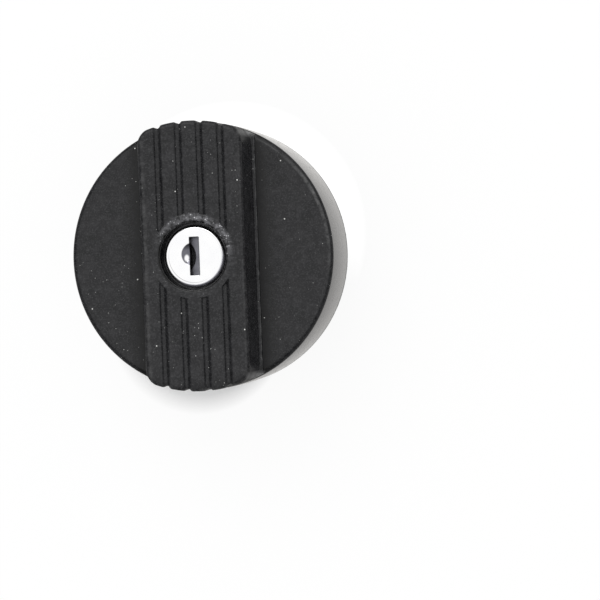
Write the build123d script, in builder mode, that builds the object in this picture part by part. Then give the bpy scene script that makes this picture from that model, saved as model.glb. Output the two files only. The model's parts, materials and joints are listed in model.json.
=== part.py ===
from build123d import *
import os
from math import atan2, cos, degrees, radians, sin, sqrt

# Locking bayonet cap for a filler neck: a ribbed grip handle that turns freely on a sealing plug
# until the key slides a bolt into the plug's crown. Millimetres, +Z out of the neck along the
# cap's axis, origin on the axis in the plane where the gasket meets the neck. The key slot and
# the grip bar run along Y at rest.

os.makedirs("parts", exist_ok=True)

# Fits and clearances shared by the whole cap
RUN_FIT = 0.05  # radial clearance of shafts that turn or slide in a bore
EASE = 0.1  # clearance between flat faces that slide past each other
FREE = 0.4  # clearance between curved walls of pieces that turn apart

# Skirt and face of the handle
SKIRT_H = 24.4
SKIRT_DROP = 8.0  # rear edge below the sealing plane
SKIRT_DRAFT = 0.3  # extra radius at the rear edge
SKIRT_WALL = 2.5
BEAD_OUT = 0.25
BEAD_H = 1.3
FACE_RISE = 0.5
FACE_T = 2.6
FACE_ROUND = 1.6

# Grip bar across the face
BAR_H = 9.3
BAR_TOP_HALF = 14.8
BAR_DRAFT = 1.4  # how far each wall leans out from top to foot
BAR_INSET = 0.2  # bar's ends inside the skirt's radius
BAR_CORNER_ROUND = 3.0
BAR_EDGE_ROUND = 1.3
BAR_WALL = 2.6
LEDGE_W = 0.8
LEDGE_H = 0.6
GROOVE_PITCH = 6.0
GROOVE_W = 1.9
GROOVE_DEPTH = 0.7
GROOVE_COUNT = 4

# Lock hole in the bar
LOCK_EDGE_ROUND = 0.7
LAND_W = 2.5  # plain ring of the bar's top round the hole
LOCK_RECESS = 2.2

# Lock face, barrel and shutter
CAP_SHEET = 0.45
FACE_CAP_OUT = 1.95  # lock face's radius beyond the barrel's
FACE_CAP_ROUND = 0.8
SLOT_W = 2.7
SLOT_H = 10.7
DIMPLE_R = 2.8
DIMPLE_DEEP = 0.9
HEAD_H = 2.5  # lock face above the top of the housing
BARREL_R = 6.8
KEYWAY_W = 2.3
KEYWAY_H = 9.6
KEY_REACH = 26.5
TAIL_R = 3.0
TAIL_FLAT = 2.3
PIN_R = 0.5
PIN_X = 2.3
PIN_DROP = 2.0  # shutter pin below the lock face
KNUCKLE_R = 0.8
FLAP_T = 0.55
FLAP_PAST_SLOT = 0.5
FLAP_NOTCH_R = 6.2
FLAP_NOTCH_IN = 1.75
SHUTTER_WIRE = 0.2
SHUTTER_COIL_R = 0.72
SHUTTER_COIL_LONG = 3.0
SHUTTER_TURNS = 4

# Wafer tumblers
WAFER_COUNT = 5
WAFER_T = 1.0
WAFER_PITCH = 2.6
WAFER_W = 6.0
WAFER_LIFT = 0.6
EAR_W = 1.3
EAR_H = 1.6
WAFER_SPRING_R = 0.42
WAFER_SPRING_WIRE = 0.18
WAFER_SPRING_LONG = 3.0
WAFER_SPRING_TURNS = 3

# Lock housing and its drum
HOUSING_WALL = 2.6
FLANGE_IN = 4.0  # flange's edge inside the stop rib
FLANGE_T = 1.5
FLANGE_ABOVE_PLUG = 2.5
DRUM_H = 6.6
DRUM_RIM = 4.25  # drum's wall round the cam's room
DRUM_LID_T = 1.0
CAM_T = 1.8
CLIP_R = 4.2
CLIP_T = 0.5
CLIP_MOUTH = 3.2
BOLT_T = 1.9
BOLT_W = 5.8
BOLT_TIP_W = 3.6
BOLT_TIP_LONG = 4.2
BOLT_TRAVEL = 3.0
KEY_TURN = 90.0
FOLLOWER_R = 0.9
FOLLOWER_IN = 2.0  # follower pin from the bolt's inner end
TRACK_GAP = 0.15

# Plug that enters the neck
PLUG_WALL = 2.2  # outside the crown's notches
PLUG_CHAMFER = 1.0
PLUG_RELIEF = 0.4  # spigot's radius is smaller by this above the lugs' lower faces
PLUG_FLANGE_T = 3.0
CUP_DEPTH = 11.0
CUP_FLOOR_T = 1.6
NOTCH_COUNT = 12
NOTCH_W = 4.2
NOTCH_DEEP = 2.8
LUG_OUT = 3.5
LUG_T = 4.5
LUG_TOP = 6.5  # lug's upper face below the sealing plane
LUG_ANGLE = 44.0
CHAMBER_WALL = 3.6
VENT_R = 4.6

# Gasket, ring that holds the handle on the plug, and stop rib
GASKET_T = 3.0
GASKET_W = 6.9
GASKET_ROUND = 0.7
RING_T = 1.6
RING_UNDER_FLANGE = 0.2
RING_GAP = 0.6  # from the ring to the gasket, and from the flange to the ring's bosses
RING_HOLD = 1.2  # ring's reach under the plug's flange
RING_BOSS_R = 2.3
RIB_IN = 2.9  # rib's outer face inside the plug flange's edge
RIB_W = 2.0
RIB_GAP = 0.3

# Pressure and vacuum valve
COVER_T = 2.5
COVER_SINK = 0.3
COVER_LIP = 0.9
SEAT_R = 5.0
SEAT_WALL = 1.7
SEAT_H = 3.0
VALVE_R = 9.2
VALVE_SEAL_T = 1.0
VALVE_PLATE_T = 0.8
VALVE_RIM = 0.8
VALVE_HOLE_R = 2.1
VALVE_SPRING_WIRE = 0.9
VALVE_SPRING_LONG = 4.8
FINGER_W = 3.0
FINGER_T = 1.6
POPPET_R = 4.3
POPPET_T = 0.9
STEM_R = 1.1
KEEPER_R = 3.5
KEEPER_T = 0.6
VACUUM_SPRING_LONG = 3.0
VACUUM_SPRING_WIRE = 0.45
VALVE_SPRING_TURNS = 3
KEEPER_MOUTH = 1.4

# Screws
SCREW_R = 1.1
SCREW_HEAD_R = 2.1
SCREW_HEAD_H = 1.2
CROSS_SPAN = 1.1  # length of the cross recess as a share of the head's radius
CROSS_W = 0.3  # width of the recess as a share of the head's radius
RING_SCREW_LONG = 8.0
LID_SCREW_R = 0.9
LID_HEAD_R = 1.7
LID_HEAD_H = 0.6
BOSS_R = 2.6
HOUSING_SCREW_ANGLE = 30.0

# Heights along the axis
rear_z = -SKIRT_DROP
front_z = rear_z + SKIRT_H
face_z = front_z + FACE_RISE
face_under = face_z - FACE_T
bar_top = face_z + BAR_H
bar_roof = bar_top - BAR_WALL
lock_face_z = bar_top - LOCK_RECESS
plug_flange_top = GASKET_T + PLUG_FLANGE_T
flange_low = plug_flange_top + FLANGE_ABOVE_PLUG
flange_top = flange_low + FLANGE_T
ring_top = GASKET_T - RING_UNDER_FLANGE
ring_low = ring_top - RING_T
cup_floor = -CUP_DEPTH
chamber_top = cup_floor - CUP_FLOOR_T
lid_low = cup_floor + FREE
drum_low = lid_low + DRUM_LID_T
drum_top = drum_low + DRUM_H
bolt_low = drum_low + EASE
bolt_top = bolt_low + BOLT_T
channel_top = bolt_top + EASE
cam_low = channel_top + EASE
cam_top = cam_low + CAM_T
cam_room_top = cam_top + FREE
housing_top = lock_face_z - HEAD_H
shoulder_z = housing_top + EASE
head_top = lock_face_z - CAP_SHEET - RUN_FIT
barrel_low = drum_top + 2 * EASE
tail_low = drum_low + FREE
pin_z = lock_face_z - PIN_DROP
plate_top = chamber_top - VALVE_SPRING_LONG
seal_top = plate_top - VALVE_PLATE_T
seat_top = seal_top - VALVE_SEAL_T
cover_top = seat_top - SEAT_H
cover_low = cover_top - COVER_T
plug_end = cover_low - COVER_SINK

# Radii, from the lock outwards to the skirt
housing_r = BARREL_R + RUN_FIT + HOUSING_WALL
lock_hole_r = housing_r + RUN_FIT
land_r = lock_hole_r + LAND_W
face_cap_r = BARREL_R + FACE_CAP_OUT
face_cap_in = face_cap_r - CAP_SHEET
head_r = face_cap_in - RUN_FIT
bolt_inner = CLIP_R + FREE
follower_x = bolt_inner + FOLLOWER_IN
track_half = FOLLOWER_R + TRACK_GAP
cam_r = follower_x + BOLT_TRAVEL + track_half + FOLLOWER_R + FREE
cam_room_r = cam_r + FREE
drum_r = cam_room_r + DRUM_RIM
bolt_outer = drum_r - FREE
lid_screw_ring = (cam_room_r + drum_r) / 2
cup_r = drum_r + FREE
plug_r = cup_r + NOTCH_DEEP + PLUG_WALL
chamber_r = plug_r - CHAMBER_WALL
gasket_in = plug_r - PLUG_RELIEF + EASE
gasket_r = gasket_in + GASKET_W
ring_in = gasket_r + RING_GAP
plug_flange_r = ring_in + RING_HOLD
ring_screw_ring = plug_flange_r + RING_GAP + RING_BOSS_R
skirt_in = ring_screw_ring + RING_BOSS_R - EASE
cap_r = skirt_in + SKIRT_WALL
rear_r = cap_r + SKIRT_DRAFT
bar_reach = cap_r - BAR_INSET
bar_foot_half = BAR_TOP_HALF + BAR_DRAFT
rib_r = plug_flange_r - RIB_IN - RIB_W
flange_r = rib_r - FLANGE_IN
housing_screw_ring = flange_r - BOSS_R


def ring_of(radius, angles):
    """Points on a circle about the axis, at angles in degrees."""
    return [(radius * cos(radians(a)), radius * sin(radians(a))) for a in angles]


def pan_screws(spots, head_low, head_r, head_h, shank_r, shank_long):
    """Cross-slotted screws driven upwards, with their heads' lower faces at head_low."""
    with BuildPart() as screws:
        with BuildSketch(Plane.XY.offset(head_low)):
            with Locations(*spots):
                Circle(head_r)
        extrude(amount=head_h)
        with BuildSketch(Plane.XY.offset(head_low + head_h)):
            with Locations(*spots):
                Circle(shank_r)
        extrude(amount=shank_long)
        with BuildSketch(Plane.XY.offset(head_low)):
            with Locations(*spots):
                Rectangle(CROSS_SPAN * head_r, CROSS_W * head_r)
                Rectangle(CROSS_W * head_r, CROSS_SPAN * head_r)
        extrude(amount=head_h / 2, mode=Mode.SUBTRACT)
    return screws


def coil(mean_radius, wire, long, turns, base, direction=(0, 0, 1)):
    """Coil spring of square wire that starts at base and runs along direction."""
    start = Vector(*base) + Vector(*direction) * (wire / 2)
    run = long - wire
    with BuildPart() as spring:
        with BuildLine():
            path = Helix(run / turns, run, mean_radius, center=start, direction=direction)
        with BuildSketch(Plane(origin=path @ 0, x_dir=(path @ 0) - start, z_dir=path % 0)):
            Rectangle(wire, wire)
        sweep(path=path, is_frenet=True)
    return spring


screw_turns = [side + turn for side in (0, 180) for turn in (-HOUSING_SCREW_ANGLE, HOUSING_SCREW_ANGLE)]
housing_screw_spots = ring_of(housing_screw_ring, screw_turns)
ring_screw_spots = ring_of(ring_screw_ring, [45, 135, 225, 315])
lid_screw_spots = ring_of(lid_screw_ring, [60, 180, 300])

# Handle shell: the grip bar first, with drafted sides, ends that follow the skirt, and rounded edges
with BuildPart() as grip_bar:
    with BuildSketch(Plane.XY.offset(face_z)):
        Rectangle(2 * bar_foot_half, 4 * cap_r)
    extrude(amount=BAR_H, taper=degrees(atan2(BAR_DRAFT, BAR_H)))
    with BuildSketch(Plane.XY.offset(face_z)):
        Circle(bar_reach)
    extrude(amount=BAR_H, mode=Mode.INTERSECT)
    upright_edges = grip_bar.edges().filter_by(lambda e: e.bounding_box().size.Z > BAR_H / 2)
    fillet(upright_edges, BAR_CORNER_ROUND)
    fillet(grip_bar.edges().group_by(Axis.Z)[-1], BAR_EDGE_ROUND)

# Round grooves run up one end of the bar, along its top and down the other end, and each follows the
# bar's rounded edge. They stop at the land round the lock.
groove_arc = (GROOVE_W**2 / 4 + GROOVE_DEPTH**2) / (2 * GROOVE_DEPTH)
groove_lift = groove_arc - GROOVE_DEPTH
groove_span = GROOVE_PITCH * (GROOVE_COUNT - 1)
groove_low = face_z + LEDGE_H
groove_high = bar_top + groove_lift
with BuildPart() as grooves:
    for number in range(GROOVE_COUNT):
        place = GROOVE_PITCH * number - groove_span / 2
        reach = sqrt(bar_reach**2 - place**2) + groove_lift
        corners = [(-reach, groove_low), (-reach, groove_high), (reach, groove_high), (reach, groove_low)]
        with BuildLine():
            route = FilletPolyline(*[(place, y, z) for y, z in corners], radius=BAR_EDGE_ROUND + groove_lift)
        with BuildSketch(Plane(origin=route @ 0, z_dir=route % 0)):
            Circle(groove_arc)
        sweep(path=route)
    with BuildSketch(Plane.XY.offset(bar_top - 2 * GROOVE_DEPTH)):
        Circle(land_r)
    extrude(amount=4 * GROOVE_DEPTH, mode=Mode.SUBTRACT)

with BuildPart() as handle_shell:
    # Face plate and skirt with its rear bead
    with BuildSketch(Plane.XZ):
        with BuildLine():
            Polyline((0, face_under), (0, face_z), (cap_r - FACE_ROUND, face_z))
            TangentArc((cap_r - FACE_ROUND, face_z), (cap_r, face_z - FACE_ROUND), tangent=(1, 0))
            Polyline(
                (cap_r, face_z - FACE_ROUND),
                (rear_r, rear_z + BEAD_H),
                (rear_r + BEAD_OUT, rear_z + BEAD_H - BEAD_OUT),
                (rear_r + BEAD_OUT, rear_z + BEAD_OUT),
                (rear_r, rear_z),
                (rear_r - SKIRT_WALL, rear_z),
                (skirt_in, face_under),
                (0, face_under),
            )
        make_face()
    revolve(axis=Axis.Z)
    # Low ledge round the bar's foot, then the bar itself
    with BuildSketch(Plane.XY.offset(face_under)):
        Circle(bar_reach)
        Rectangle(2 * (bar_foot_half + LEDGE_W), 2 * cap_r, mode=Mode.INTERSECT)
    extrude(amount=face_z + LEDGE_H - face_under)
    add(grip_bar.part)
    add(grooves.part, mode=Mode.SUBTRACT)
    # Hollow of the bar, divided by a long web and by the stop rib
    with BuildSketch(Plane.XY.offset(face_under)):
        Circle(bar_reach - BAR_WALL)
        Rectangle(2 * (BAR_TOP_HALF - BAR_WALL), 2 * cap_r, mode=Mode.INTERSECT)
        Circle(rib_r + RIB_W, mode=Mode.SUBTRACT)
    extrude(amount=bar_roof - face_under, mode=Mode.SUBTRACT)
    with BuildSketch(Plane.XY.offset(face_under)):
        Circle(rib_r)
        Rectangle(2 * (BAR_TOP_HALF - BAR_WALL), 2 * cap_r, mode=Mode.INTERSECT)
        Rectangle(RIB_W, 2 * cap_r, mode=Mode.SUBTRACT)
        Circle(land_r, mode=Mode.SUBTRACT)
    extrude(amount=bar_roof - face_under, mode=Mode.SUBTRACT)
    # Stop rib that rests on the plug's flange, and the tube that holds the lock
    with BuildSketch(Plane.XY.offset(plug_flange_top + RIB_GAP)):
        Circle(rib_r + RIB_W)
        Circle(rib_r, mode=Mode.SUBTRACT)
    extrude(amount=face_under - plug_flange_top)
    with BuildSketch(Plane.XY.offset(flange_top)):
        Circle(land_r)
    extrude(amount=face_under - flange_top)
    # Screw bosses for the housing flange and for the retaining ring
    with BuildSketch(Plane.XY.offset(flange_top)):
        with Locations(*housing_screw_spots):
            Circle(BOSS_R)
    extrude(amount=face_under - flange_top)
    with BuildSketch(Plane.XY.offset(ring_top)):
        with Locations(*ring_screw_spots):
            Circle(RING_BOSS_R)
    extrude(amount=face_under - ring_top)
    with BuildSketch(Plane.XY.offset(flange_top)):
        Circle(lock_hole_r)
    extrude(amount=bar_top - flange_top, mode=Mode.SUBTRACT)
    with BuildSketch(Plane.XY.offset(flange_top)):
        with Locations(*housing_screw_spots):
            Circle(SCREW_R + RUN_FIT)
    extrude(amount=face_z - FACE_T / 2 - flange_top, mode=Mode.SUBTRACT)
    with BuildSketch(Plane.XY.offset(ring_top)):
        with Locations(*ring_screw_spots):
            Circle(SCREW_R + RUN_FIT)
    extrude(amount=RING_SCREW_LONG, mode=Mode.SUBTRACT)
    hole_edges = handle_shell.edges().filter_by(GeomType.CIRCLE)
    hole_edges = hole_edges.filter_by(lambda e: abs(e.radius - lock_hole_r) < RUN_FIT)
    fillet(hole_edges.sort_by(Axis.Z)[-1], LOCK_EDGE_ROUND)
handle_shell.part.label = "handle_shell"
export_step(handle_shell.part, "parts/handle_shell.step")

# Retaining ring under the plug's flange, and its screws
with BuildPart() as retaining_ring:
    with BuildSketch(Plane.XY.offset(ring_low)):
        Circle(skirt_in - EASE)
        Circle(ring_in, mode=Mode.SUBTRACT)
        with Locations(*ring_screw_spots):
            Circle(SCREW_R + 2 * RUN_FIT, mode=Mode.SUBTRACT)
    extrude(amount=RING_T)
retaining_ring.part.label = "retaining_ring"
export_step(retaining_ring.part, "parts/retaining_ring.step")

ring_screws = pan_screws(
    ring_screw_spots, ring_low - SCREW_HEAD_H, SCREW_HEAD_R, SCREW_HEAD_H, SCREW_R, RING_SCREW_LONG
)
ring_screws.part.label = "ring_screws"
export_step(ring_screws.part, "parts/ring_screws.step")

# Lock housing: a tube, a flange screwed under the face, and a drum that guides the bolt
with BuildPart() as lock_housing:
    with BuildSketch(Plane.XY.offset(drum_top)):
        Circle(housing_r)
    extrude(amount=housing_top - drum_top)
    with BuildSketch(Plane.XY.offset(flange_low)):
        Circle(flange_r)
        with Locations(*housing_screw_spots):
            Circle(SCREW_R + 2 * RUN_FIT, mode=Mode.SUBTRACT)
    extrude(amount=FLANGE_T)
    with BuildSketch(Plane.XY.offset(drum_low)):
        Circle(drum_r)
    extrude(amount=DRUM_H)
    with BuildSketch(Plane.XY.offset(drum_top)):
        Circle(BARREL_R + RUN_FIT)
    extrude(amount=housing_top - drum_top, mode=Mode.SUBTRACT)
    with BuildSketch(Plane.XY.offset(drum_low)):
        Circle(TAIL_R + RUN_FIT)
    extrude(amount=DRUM_H, mode=Mode.SUBTRACT)
    with BuildSketch(Plane.XY.offset(drum_low)):
        Circle(cam_room_r)
    extrude(amount=cam_room_top - drum_low, mode=Mode.SUBTRACT)
    # Radial channel for the bolt
    with BuildSketch(Plane.XY.offset(drum_low)):
        with Locations((drum_r / 2 + FREE, 0)):
            Rectangle(drum_r + 2 * FREE, BOLT_W + 2 * EASE)
    extrude(amount=channel_top - drum_low, mode=Mode.SUBTRACT)
    with BuildSketch(Plane.XY.offset(drum_low)):
        with Locations(*lid_screw_spots):
            Circle(LID_SCREW_R + RUN_FIT)
    extrude(amount=DRUM_H / 2, mode=Mode.SUBTRACT)
    # Grooves that take the wafers' ends at both key positions
    groove_reach = BARREL_R + WAFER_LIFT + FREE
    with BuildSketch(Plane.XY.offset(drum_top)):
        with Locations((0, groove_reach / 2)):
            Rectangle(WAFER_W + FREE, groove_reach)
        with Locations((groove_reach / 2, 0)):
            Rectangle(groove_reach, WAFER_W + FREE)
    extrude(amount=housing_top - HEAD_H - drum_top, mode=Mode.SUBTRACT)
lock_housing.part.label = "lock_housing"
export_step(lock_housing.part, "parts/lock_housing.step")

housing_screws = pan_screws(
    housing_screw_spots,
    flange_low - SCREW_HEAD_H,
    SCREW_HEAD_R,
    SCREW_HEAD_H,
    SCREW_R,
    face_under - flange_low,
)
housing_screws.part.label = "housing_screws"
export_step(housing_screws.part, "parts/housing_screws.step")

# Lid under the drum, with its screws sunk flush
with BuildPart() as drum_lid:
    with BuildSketch(Plane.XY.offset(lid_low)):
        Circle(drum_r)
        with Locations(*lid_screw_spots):
            Circle(LID_SCREW_R + RUN_FIT, mode=Mode.SUBTRACT)
    extrude(amount=DRUM_LID_T)
    with BuildSketch(Plane.XY.offset(lid_low)):
        with Locations(*lid_screw_spots):
            Circle(LID_HEAD_R + RUN_FIT)
    extrude(amount=LID_HEAD_H, mode=Mode.SUBTRACT)
drum_lid.part.label = "drum_lid"
export_step(drum_lid.part, "parts/drum_lid.step")

lid_screw_long = DRUM_LID_T - LID_HEAD_H + DRUM_H / 2 - EASE
drum_lid_screws = pan_screws(
    lid_screw_spots, lid_low, LID_HEAD_R, LID_HEAD_H, LID_SCREW_R, lid_screw_long
)
drum_lid_screws.part.label = "drum_lid_screws"
export_step(drum_lid_screws.part, "parts/drum_lid_screws.step")

# Bolt that couples the handle to the plug, with its follower pin in the cam's track
with BuildPart() as locking_bolt:
    with BuildSketch(Plane.XY.offset(bolt_low)):
        with Locations(((bolt_inner + bolt_outer - BOLT_TIP_LONG) / 2, 0)):
            Rectangle(bolt_outer - BOLT_TIP_LONG - bolt_inner, BOLT_W)
        with Locations(((bolt_inner + bolt_outer) / 2, 0)):
            Rectangle(bolt_outer - bolt_inner, BOLT_TIP_W)
    extrude(amount=BOLT_T)
    chamfer(locking_bolt.edges().filter_by(Axis.Z).group_by(Axis.X)[-1], FOLLOWER_R / 2)
    with BuildSketch(Plane.XY.offset(bolt_top)):
        with Locations((follower_x, 0)):
            Circle(FOLLOWER_R)
    extrude(amount=cam_top - EASE - bolt_top)
locking_bolt.part.label = "locking_bolt"
export_step(locking_bolt.part, "parts/locking_bolt.step")


def track_point(share):
    """Point of the cam's spiral track, whose radius grows evenly with the key's turn."""
    angle = radians(KEY_TURN * share)
    radius = follower_x + BOLT_TRAVEL * share
    return (radius * cos(angle), radius * sin(angle))


# Cam disc on the barrel's tail, with an even spiral that moves the bolt with the key
track_steps = 6
with BuildPart() as cam_disc:
    with BuildSketch(Plane.XY.offset(cam_low)):
        Circle(cam_r)
        with BuildLine():
            Spline(*[track_point(step / track_steps) for step in range(track_steps + 1)])
        trace(line_width=2 * track_half, mode=Mode.SUBTRACT)
        with Locations(track_point(0), track_point(1)):
            Circle(track_half, mode=Mode.SUBTRACT)
    extrude(amount=CAM_T)
    with BuildSketch(Plane.XY.offset(cam_low)):
        Circle(TAIL_R + RUN_FIT)
        Rectangle(2 * (TAIL_FLAT + RUN_FIT), 2 * cam_r, mode=Mode.INTERSECT)
    extrude(amount=CAM_T, mode=Mode.SUBTRACT)
cam_disc.part.label = "cam_disc"
export_step(cam_disc.part, "parts/cam_disc.step")

# Key barrel: head, body with keyway, shutter pocket and wafer slots, and a flatted tail
slot_left = -SLOT_W / 2
flap_left = slot_left - FLAP_PAST_SLOT
flap_half = SLOT_H / 2 + EASE
flap_reach = PIN_X - flap_left
pocket_low = pin_z - flap_reach - FREE
pocket_left = flap_left - FREE
pocket_right = PIN_X + KNUCKLE_R + EASE
pin_half = sqrt((BARREL_R - EASE) ** 2 - (PIN_X + PIN_R) ** 2)
wafer_top_z = pocket_low - WAFER_T
wafer_levels = [wafer_top_z - WAFER_PITCH * number - WAFER_T for number in range(WAFER_COUNT)]
ear_right = WAFER_W / 2 + EAR_W
spring_x = WAFER_W / 2 + EAR_W / 2
spring_base = -EAR_H / 2 - WAFER_SPRING_LONG
keyway_low = lock_face_z - KEY_REACH
dimple_ball = (DIMPLE_R**2 + DIMPLE_DEEP**2) / (2 * DIMPLE_DEEP)
dimple_centre = (slot_left, 0, lock_face_z - DIMPLE_DEEP + dimple_ball)
with BuildPart() as lock_barrel:
    with BuildSketch(Plane.XY.offset(barrel_low)):
        Circle(BARREL_R)
    extrude(amount=shoulder_z - barrel_low)
    with BuildSketch(Plane.XY.offset(shoulder_z)):
        Circle(head_r)
    extrude(amount=head_top - shoulder_z)
    with BuildSketch(Plane.XY.offset(cam_room_top)):
        Circle(TAIL_R)
    extrude(amount=barrel_low - cam_room_top)
    with BuildSketch(Plane.XY.offset(tail_low)):
        Circle(TAIL_R)
        Rectangle(2 * TAIL_FLAT, 2 * TAIL_R, mode=Mode.INTERSECT)
    extrude(amount=cam_room_top - tail_low)
    # Groove for the circlip, just under the cam
    with BuildSketch(Plane.XY.offset(cam_low - EASE - CLIP_T)):
        Circle(TAIL_R)
        Circle(TAIL_FLAT - EASE, mode=Mode.SUBTRACT)
    extrude(amount=CLIP_T + EASE, mode=Mode.SUBTRACT)
    with BuildSketch(Plane.XY.offset(keyway_low)):
        Rectangle(KEYWAY_W, KEYWAY_H)
    extrude(amount=head_top - keyway_low, mode=Mode.SUBTRACT)
    with BuildSketch(Plane.XY.offset(pocket_low)):
        with Locations(((pocket_left + pocket_right) / 2, 0)):
            Rectangle(pocket_right - pocket_left, 2 * flap_half + 2 * EASE)
    extrude(amount=head_top - pocket_low, mode=Mode.SUBTRACT)
    with BuildSketch(Plane.XZ):
        with Locations((PIN_X, pin_z)):
            Circle(PIN_R + RUN_FIT)
    extrude(amount=pin_half + EASE, both=True, mode=Mode.SUBTRACT)
    # Seat for the lock face's dimple
    with Locations(dimple_centre):
        Sphere(dimple_ball + CAP_SHEET + RUN_FIT, mode=Mode.SUBTRACT)
    for level in wafer_levels:
        with BuildSketch(Plane.XY.offset(level - EASE / 2)):
            Rectangle(WAFER_W + EASE, 2 * BARREL_R)
            with Locations((ear_right / 2, 0)):
                Rectangle(ear_right + EASE, EAR_H + 2 * (WAFER_LIFT + EASE))
            with Locations((ear_right / 2, spring_base / 2)):
                Rectangle(ear_right + EASE, -spring_base)
        extrude(amount=WAFER_T + EASE, mode=Mode.SUBTRACT)
lock_barrel.part.label = "lock_barrel"
export_step(lock_barrel.part, "parts/lock_barrel.step")

# Circlip in the tail's groove
with BuildPart() as barrel_circlip:
    with BuildSketch(Plane.XY.offset(cam_low - EASE / 2 - CLIP_T)):
        Circle(CLIP_R)
        Circle(TAIL_FLAT - EASE + RUN_FIT, mode=Mode.SUBTRACT)
        with Locations((-CLIP_R, 0)):
            Rectangle(2 * CLIP_R - EASE, CLIP_MOUTH, mode=Mode.SUBTRACT)
    extrude(amount=CLIP_T)
barrel_circlip.part.label = "barrel_circlip"
export_step(barrel_circlip.part, "parts/barrel_circlip.step")

# Lock face: pressed sheet rolled over the barrel's head, with the key slot and a thumb dimple
flat_r = face_cap_r - FACE_CAP_ROUND - EASE
with BuildPart() as dent_back:
    with Locations(dimple_centre):
        Sphere(dimple_ball + CAP_SHEET)
    with BuildSketch(Plane.XY.offset(lock_face_z - CAP_SHEET)):
        Circle(head_r)
    extrude(amount=-2 * DIMPLE_DEEP, mode=Mode.INTERSECT)

with BuildPart() as lock_face_cap:
    with BuildSketch(Plane.XZ):
        with BuildLine():
            Polyline(
                (0, lock_face_z),
                (flat_r - EASE, lock_face_z),
                (flat_r, lock_face_z - EASE),
                (face_cap_r - FACE_CAP_ROUND, lock_face_z),
            )
            TangentArc(
                (face_cap_r - FACE_CAP_ROUND, lock_face_z),
                (face_cap_r, lock_face_z - FACE_CAP_ROUND),
                tangent=(1, 0),
            )
            Polyline(
                (face_cap_r, lock_face_z - FACE_CAP_ROUND),
                (face_cap_r, shoulder_z + EASE),
                (face_cap_in, shoulder_z + EASE),
                (face_cap_in, lock_face_z - CAP_SHEET),
                (0, lock_face_z - CAP_SHEET),
                (0, lock_face_z),
            )
        make_face()
    revolve(axis=Axis.Z)
    # The dimple is a ball-shaped dent in the sheet, centred on the slot's left edge
    add(dent_back.part)
    with Locations(dimple_centre):
        Sphere(dimple_ball, mode=Mode.SUBTRACT)
    with BuildSketch(Plane.XY.offset(lock_face_z)):
        Rectangle(SLOT_W, SLOT_H)
    extrude(amount=-2 * CAP_SHEET - DIMPLE_DEEP, mode=Mode.SUBTRACT)
lock_face_cap.part.label = "lock_face_cap"
export_step(lock_face_cap.part, "parts/lock_face_cap.step")

# Shutter flap behind the slot, its pin and its spring
coil_half = SHUTTER_COIL_LONG / 2
with BuildPart() as keyway_shutter:
    with BuildSketch(Plane.XZ):
        with BuildLine():
            outer = ThreePointArc(
                (PIN_X, pin_z + KNUCKLE_R),
                ((PIN_X + flap_left) / 2, pin_z + KNUCKLE_R),
                (flap_left, pin_z + KNUCKLE_R - FLAP_T),
            )
            sheet = Vector(0, FLAP_T)
            Line(outer @ 1, outer @ 1 - sheet)
            inner = ThreePointArc(outer @ 1 - sheet, outer @ 0.5 - sheet, outer @ 0 - sheet)
            Line(inner @ 1, outer @ 0)
        make_face()
        with Locations((PIN_X, pin_z)):
            Circle(KNUCKLE_R)
    extrude(amount=flap_half, both=True)
    with BuildSketch(Plane.XZ):
        with Locations((PIN_X, pin_z)):
            Circle(PIN_R + RUN_FIT)
    extrude(amount=flap_half, both=True, mode=Mode.SUBTRACT)
    with BuildSketch(Plane.XZ):
        with Locations((PIN_X, pin_z)):
            Rectangle(2 * (SHUTTER_COIL_R + SHUTTER_WIRE + EASE), 4 * KNUCKLE_R)
    extrude(amount=coil_half + EASE, both=True, mode=Mode.SUBTRACT)
    # Concave free edge, clear of the dimple
    with BuildSketch(Plane.XY.offset(pin_z - KNUCKLE_R)):
        with Locations((slot_left + FLAP_NOTCH_IN - FLAP_NOTCH_R, 0)):
            Circle(FLAP_NOTCH_R)
    extrude(amount=4 * KNUCKLE_R, mode=Mode.SUBTRACT)
keyway_shutter.part.label = "keyway_shutter"
export_step(keyway_shutter.part, "parts/keyway_shutter.step")

with BuildPart() as shutter_pin:
    with BuildSketch(Plane.XZ):
        with Locations((PIN_X, pin_z)):
            Circle(PIN_R)
    extrude(amount=pin_half, both=True)
shutter_pin.part.label = "shutter_pin"
export_step(shutter_pin.part, "parts/shutter_pin.step")

shutter_spring = coil(
    SHUTTER_COIL_R,
    SHUTTER_WIRE,
    SHUTTER_COIL_LONG,
    SHUTTER_TURNS,
    (PIN_X, -coil_half, pin_z),
    direction=(0, 1, 0),
)
shutter_spring.part.label = "shutter_spring"
export_step(shutter_spring.part, "parts/shutter_spring.step")

# Wafer tumblers, drawn at the shear line, each with its own window height and spring
for number, level in enumerate(wafer_levels):
    window_shift = WAFER_LIFT / 2 * (number % 3 - 1)
    with BuildPart() as wafer:
        with BuildSketch(Plane.XY.offset(level)):
            Circle(BARREL_R - EASE)
            Rectangle(WAFER_W, 2 * BARREL_R, mode=Mode.INTERSECT)
            with Locations((ear_right / 2, 0)):
                Rectangle(ear_right, EAR_H)
            with Locations((0, window_shift)):
                Rectangle(KEYWAY_W + EASE, KEYWAY_H - 2 * EAR_H, mode=Mode.SUBTRACT)
        extrude(amount=WAFER_T)
    wafer.part.label = f"wafer_{number + 1}"
    export_step(wafer.part, f"parts/wafer_{number + 1}.step")
    wafer_spring = coil(
        WAFER_SPRING_R,
        WAFER_SPRING_WIRE,
        WAFER_SPRING_LONG,
        WAFER_SPRING_TURNS,
        (spring_x, spring_base, level + WAFER_T / 2),
        direction=(0, 1, 0),
    )
    wafer_spring.part.label = f"wafer_spring_{number + 1}"
    export_step(wafer_spring.part, f"parts/wafer_spring_{number + 1}.step")

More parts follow.
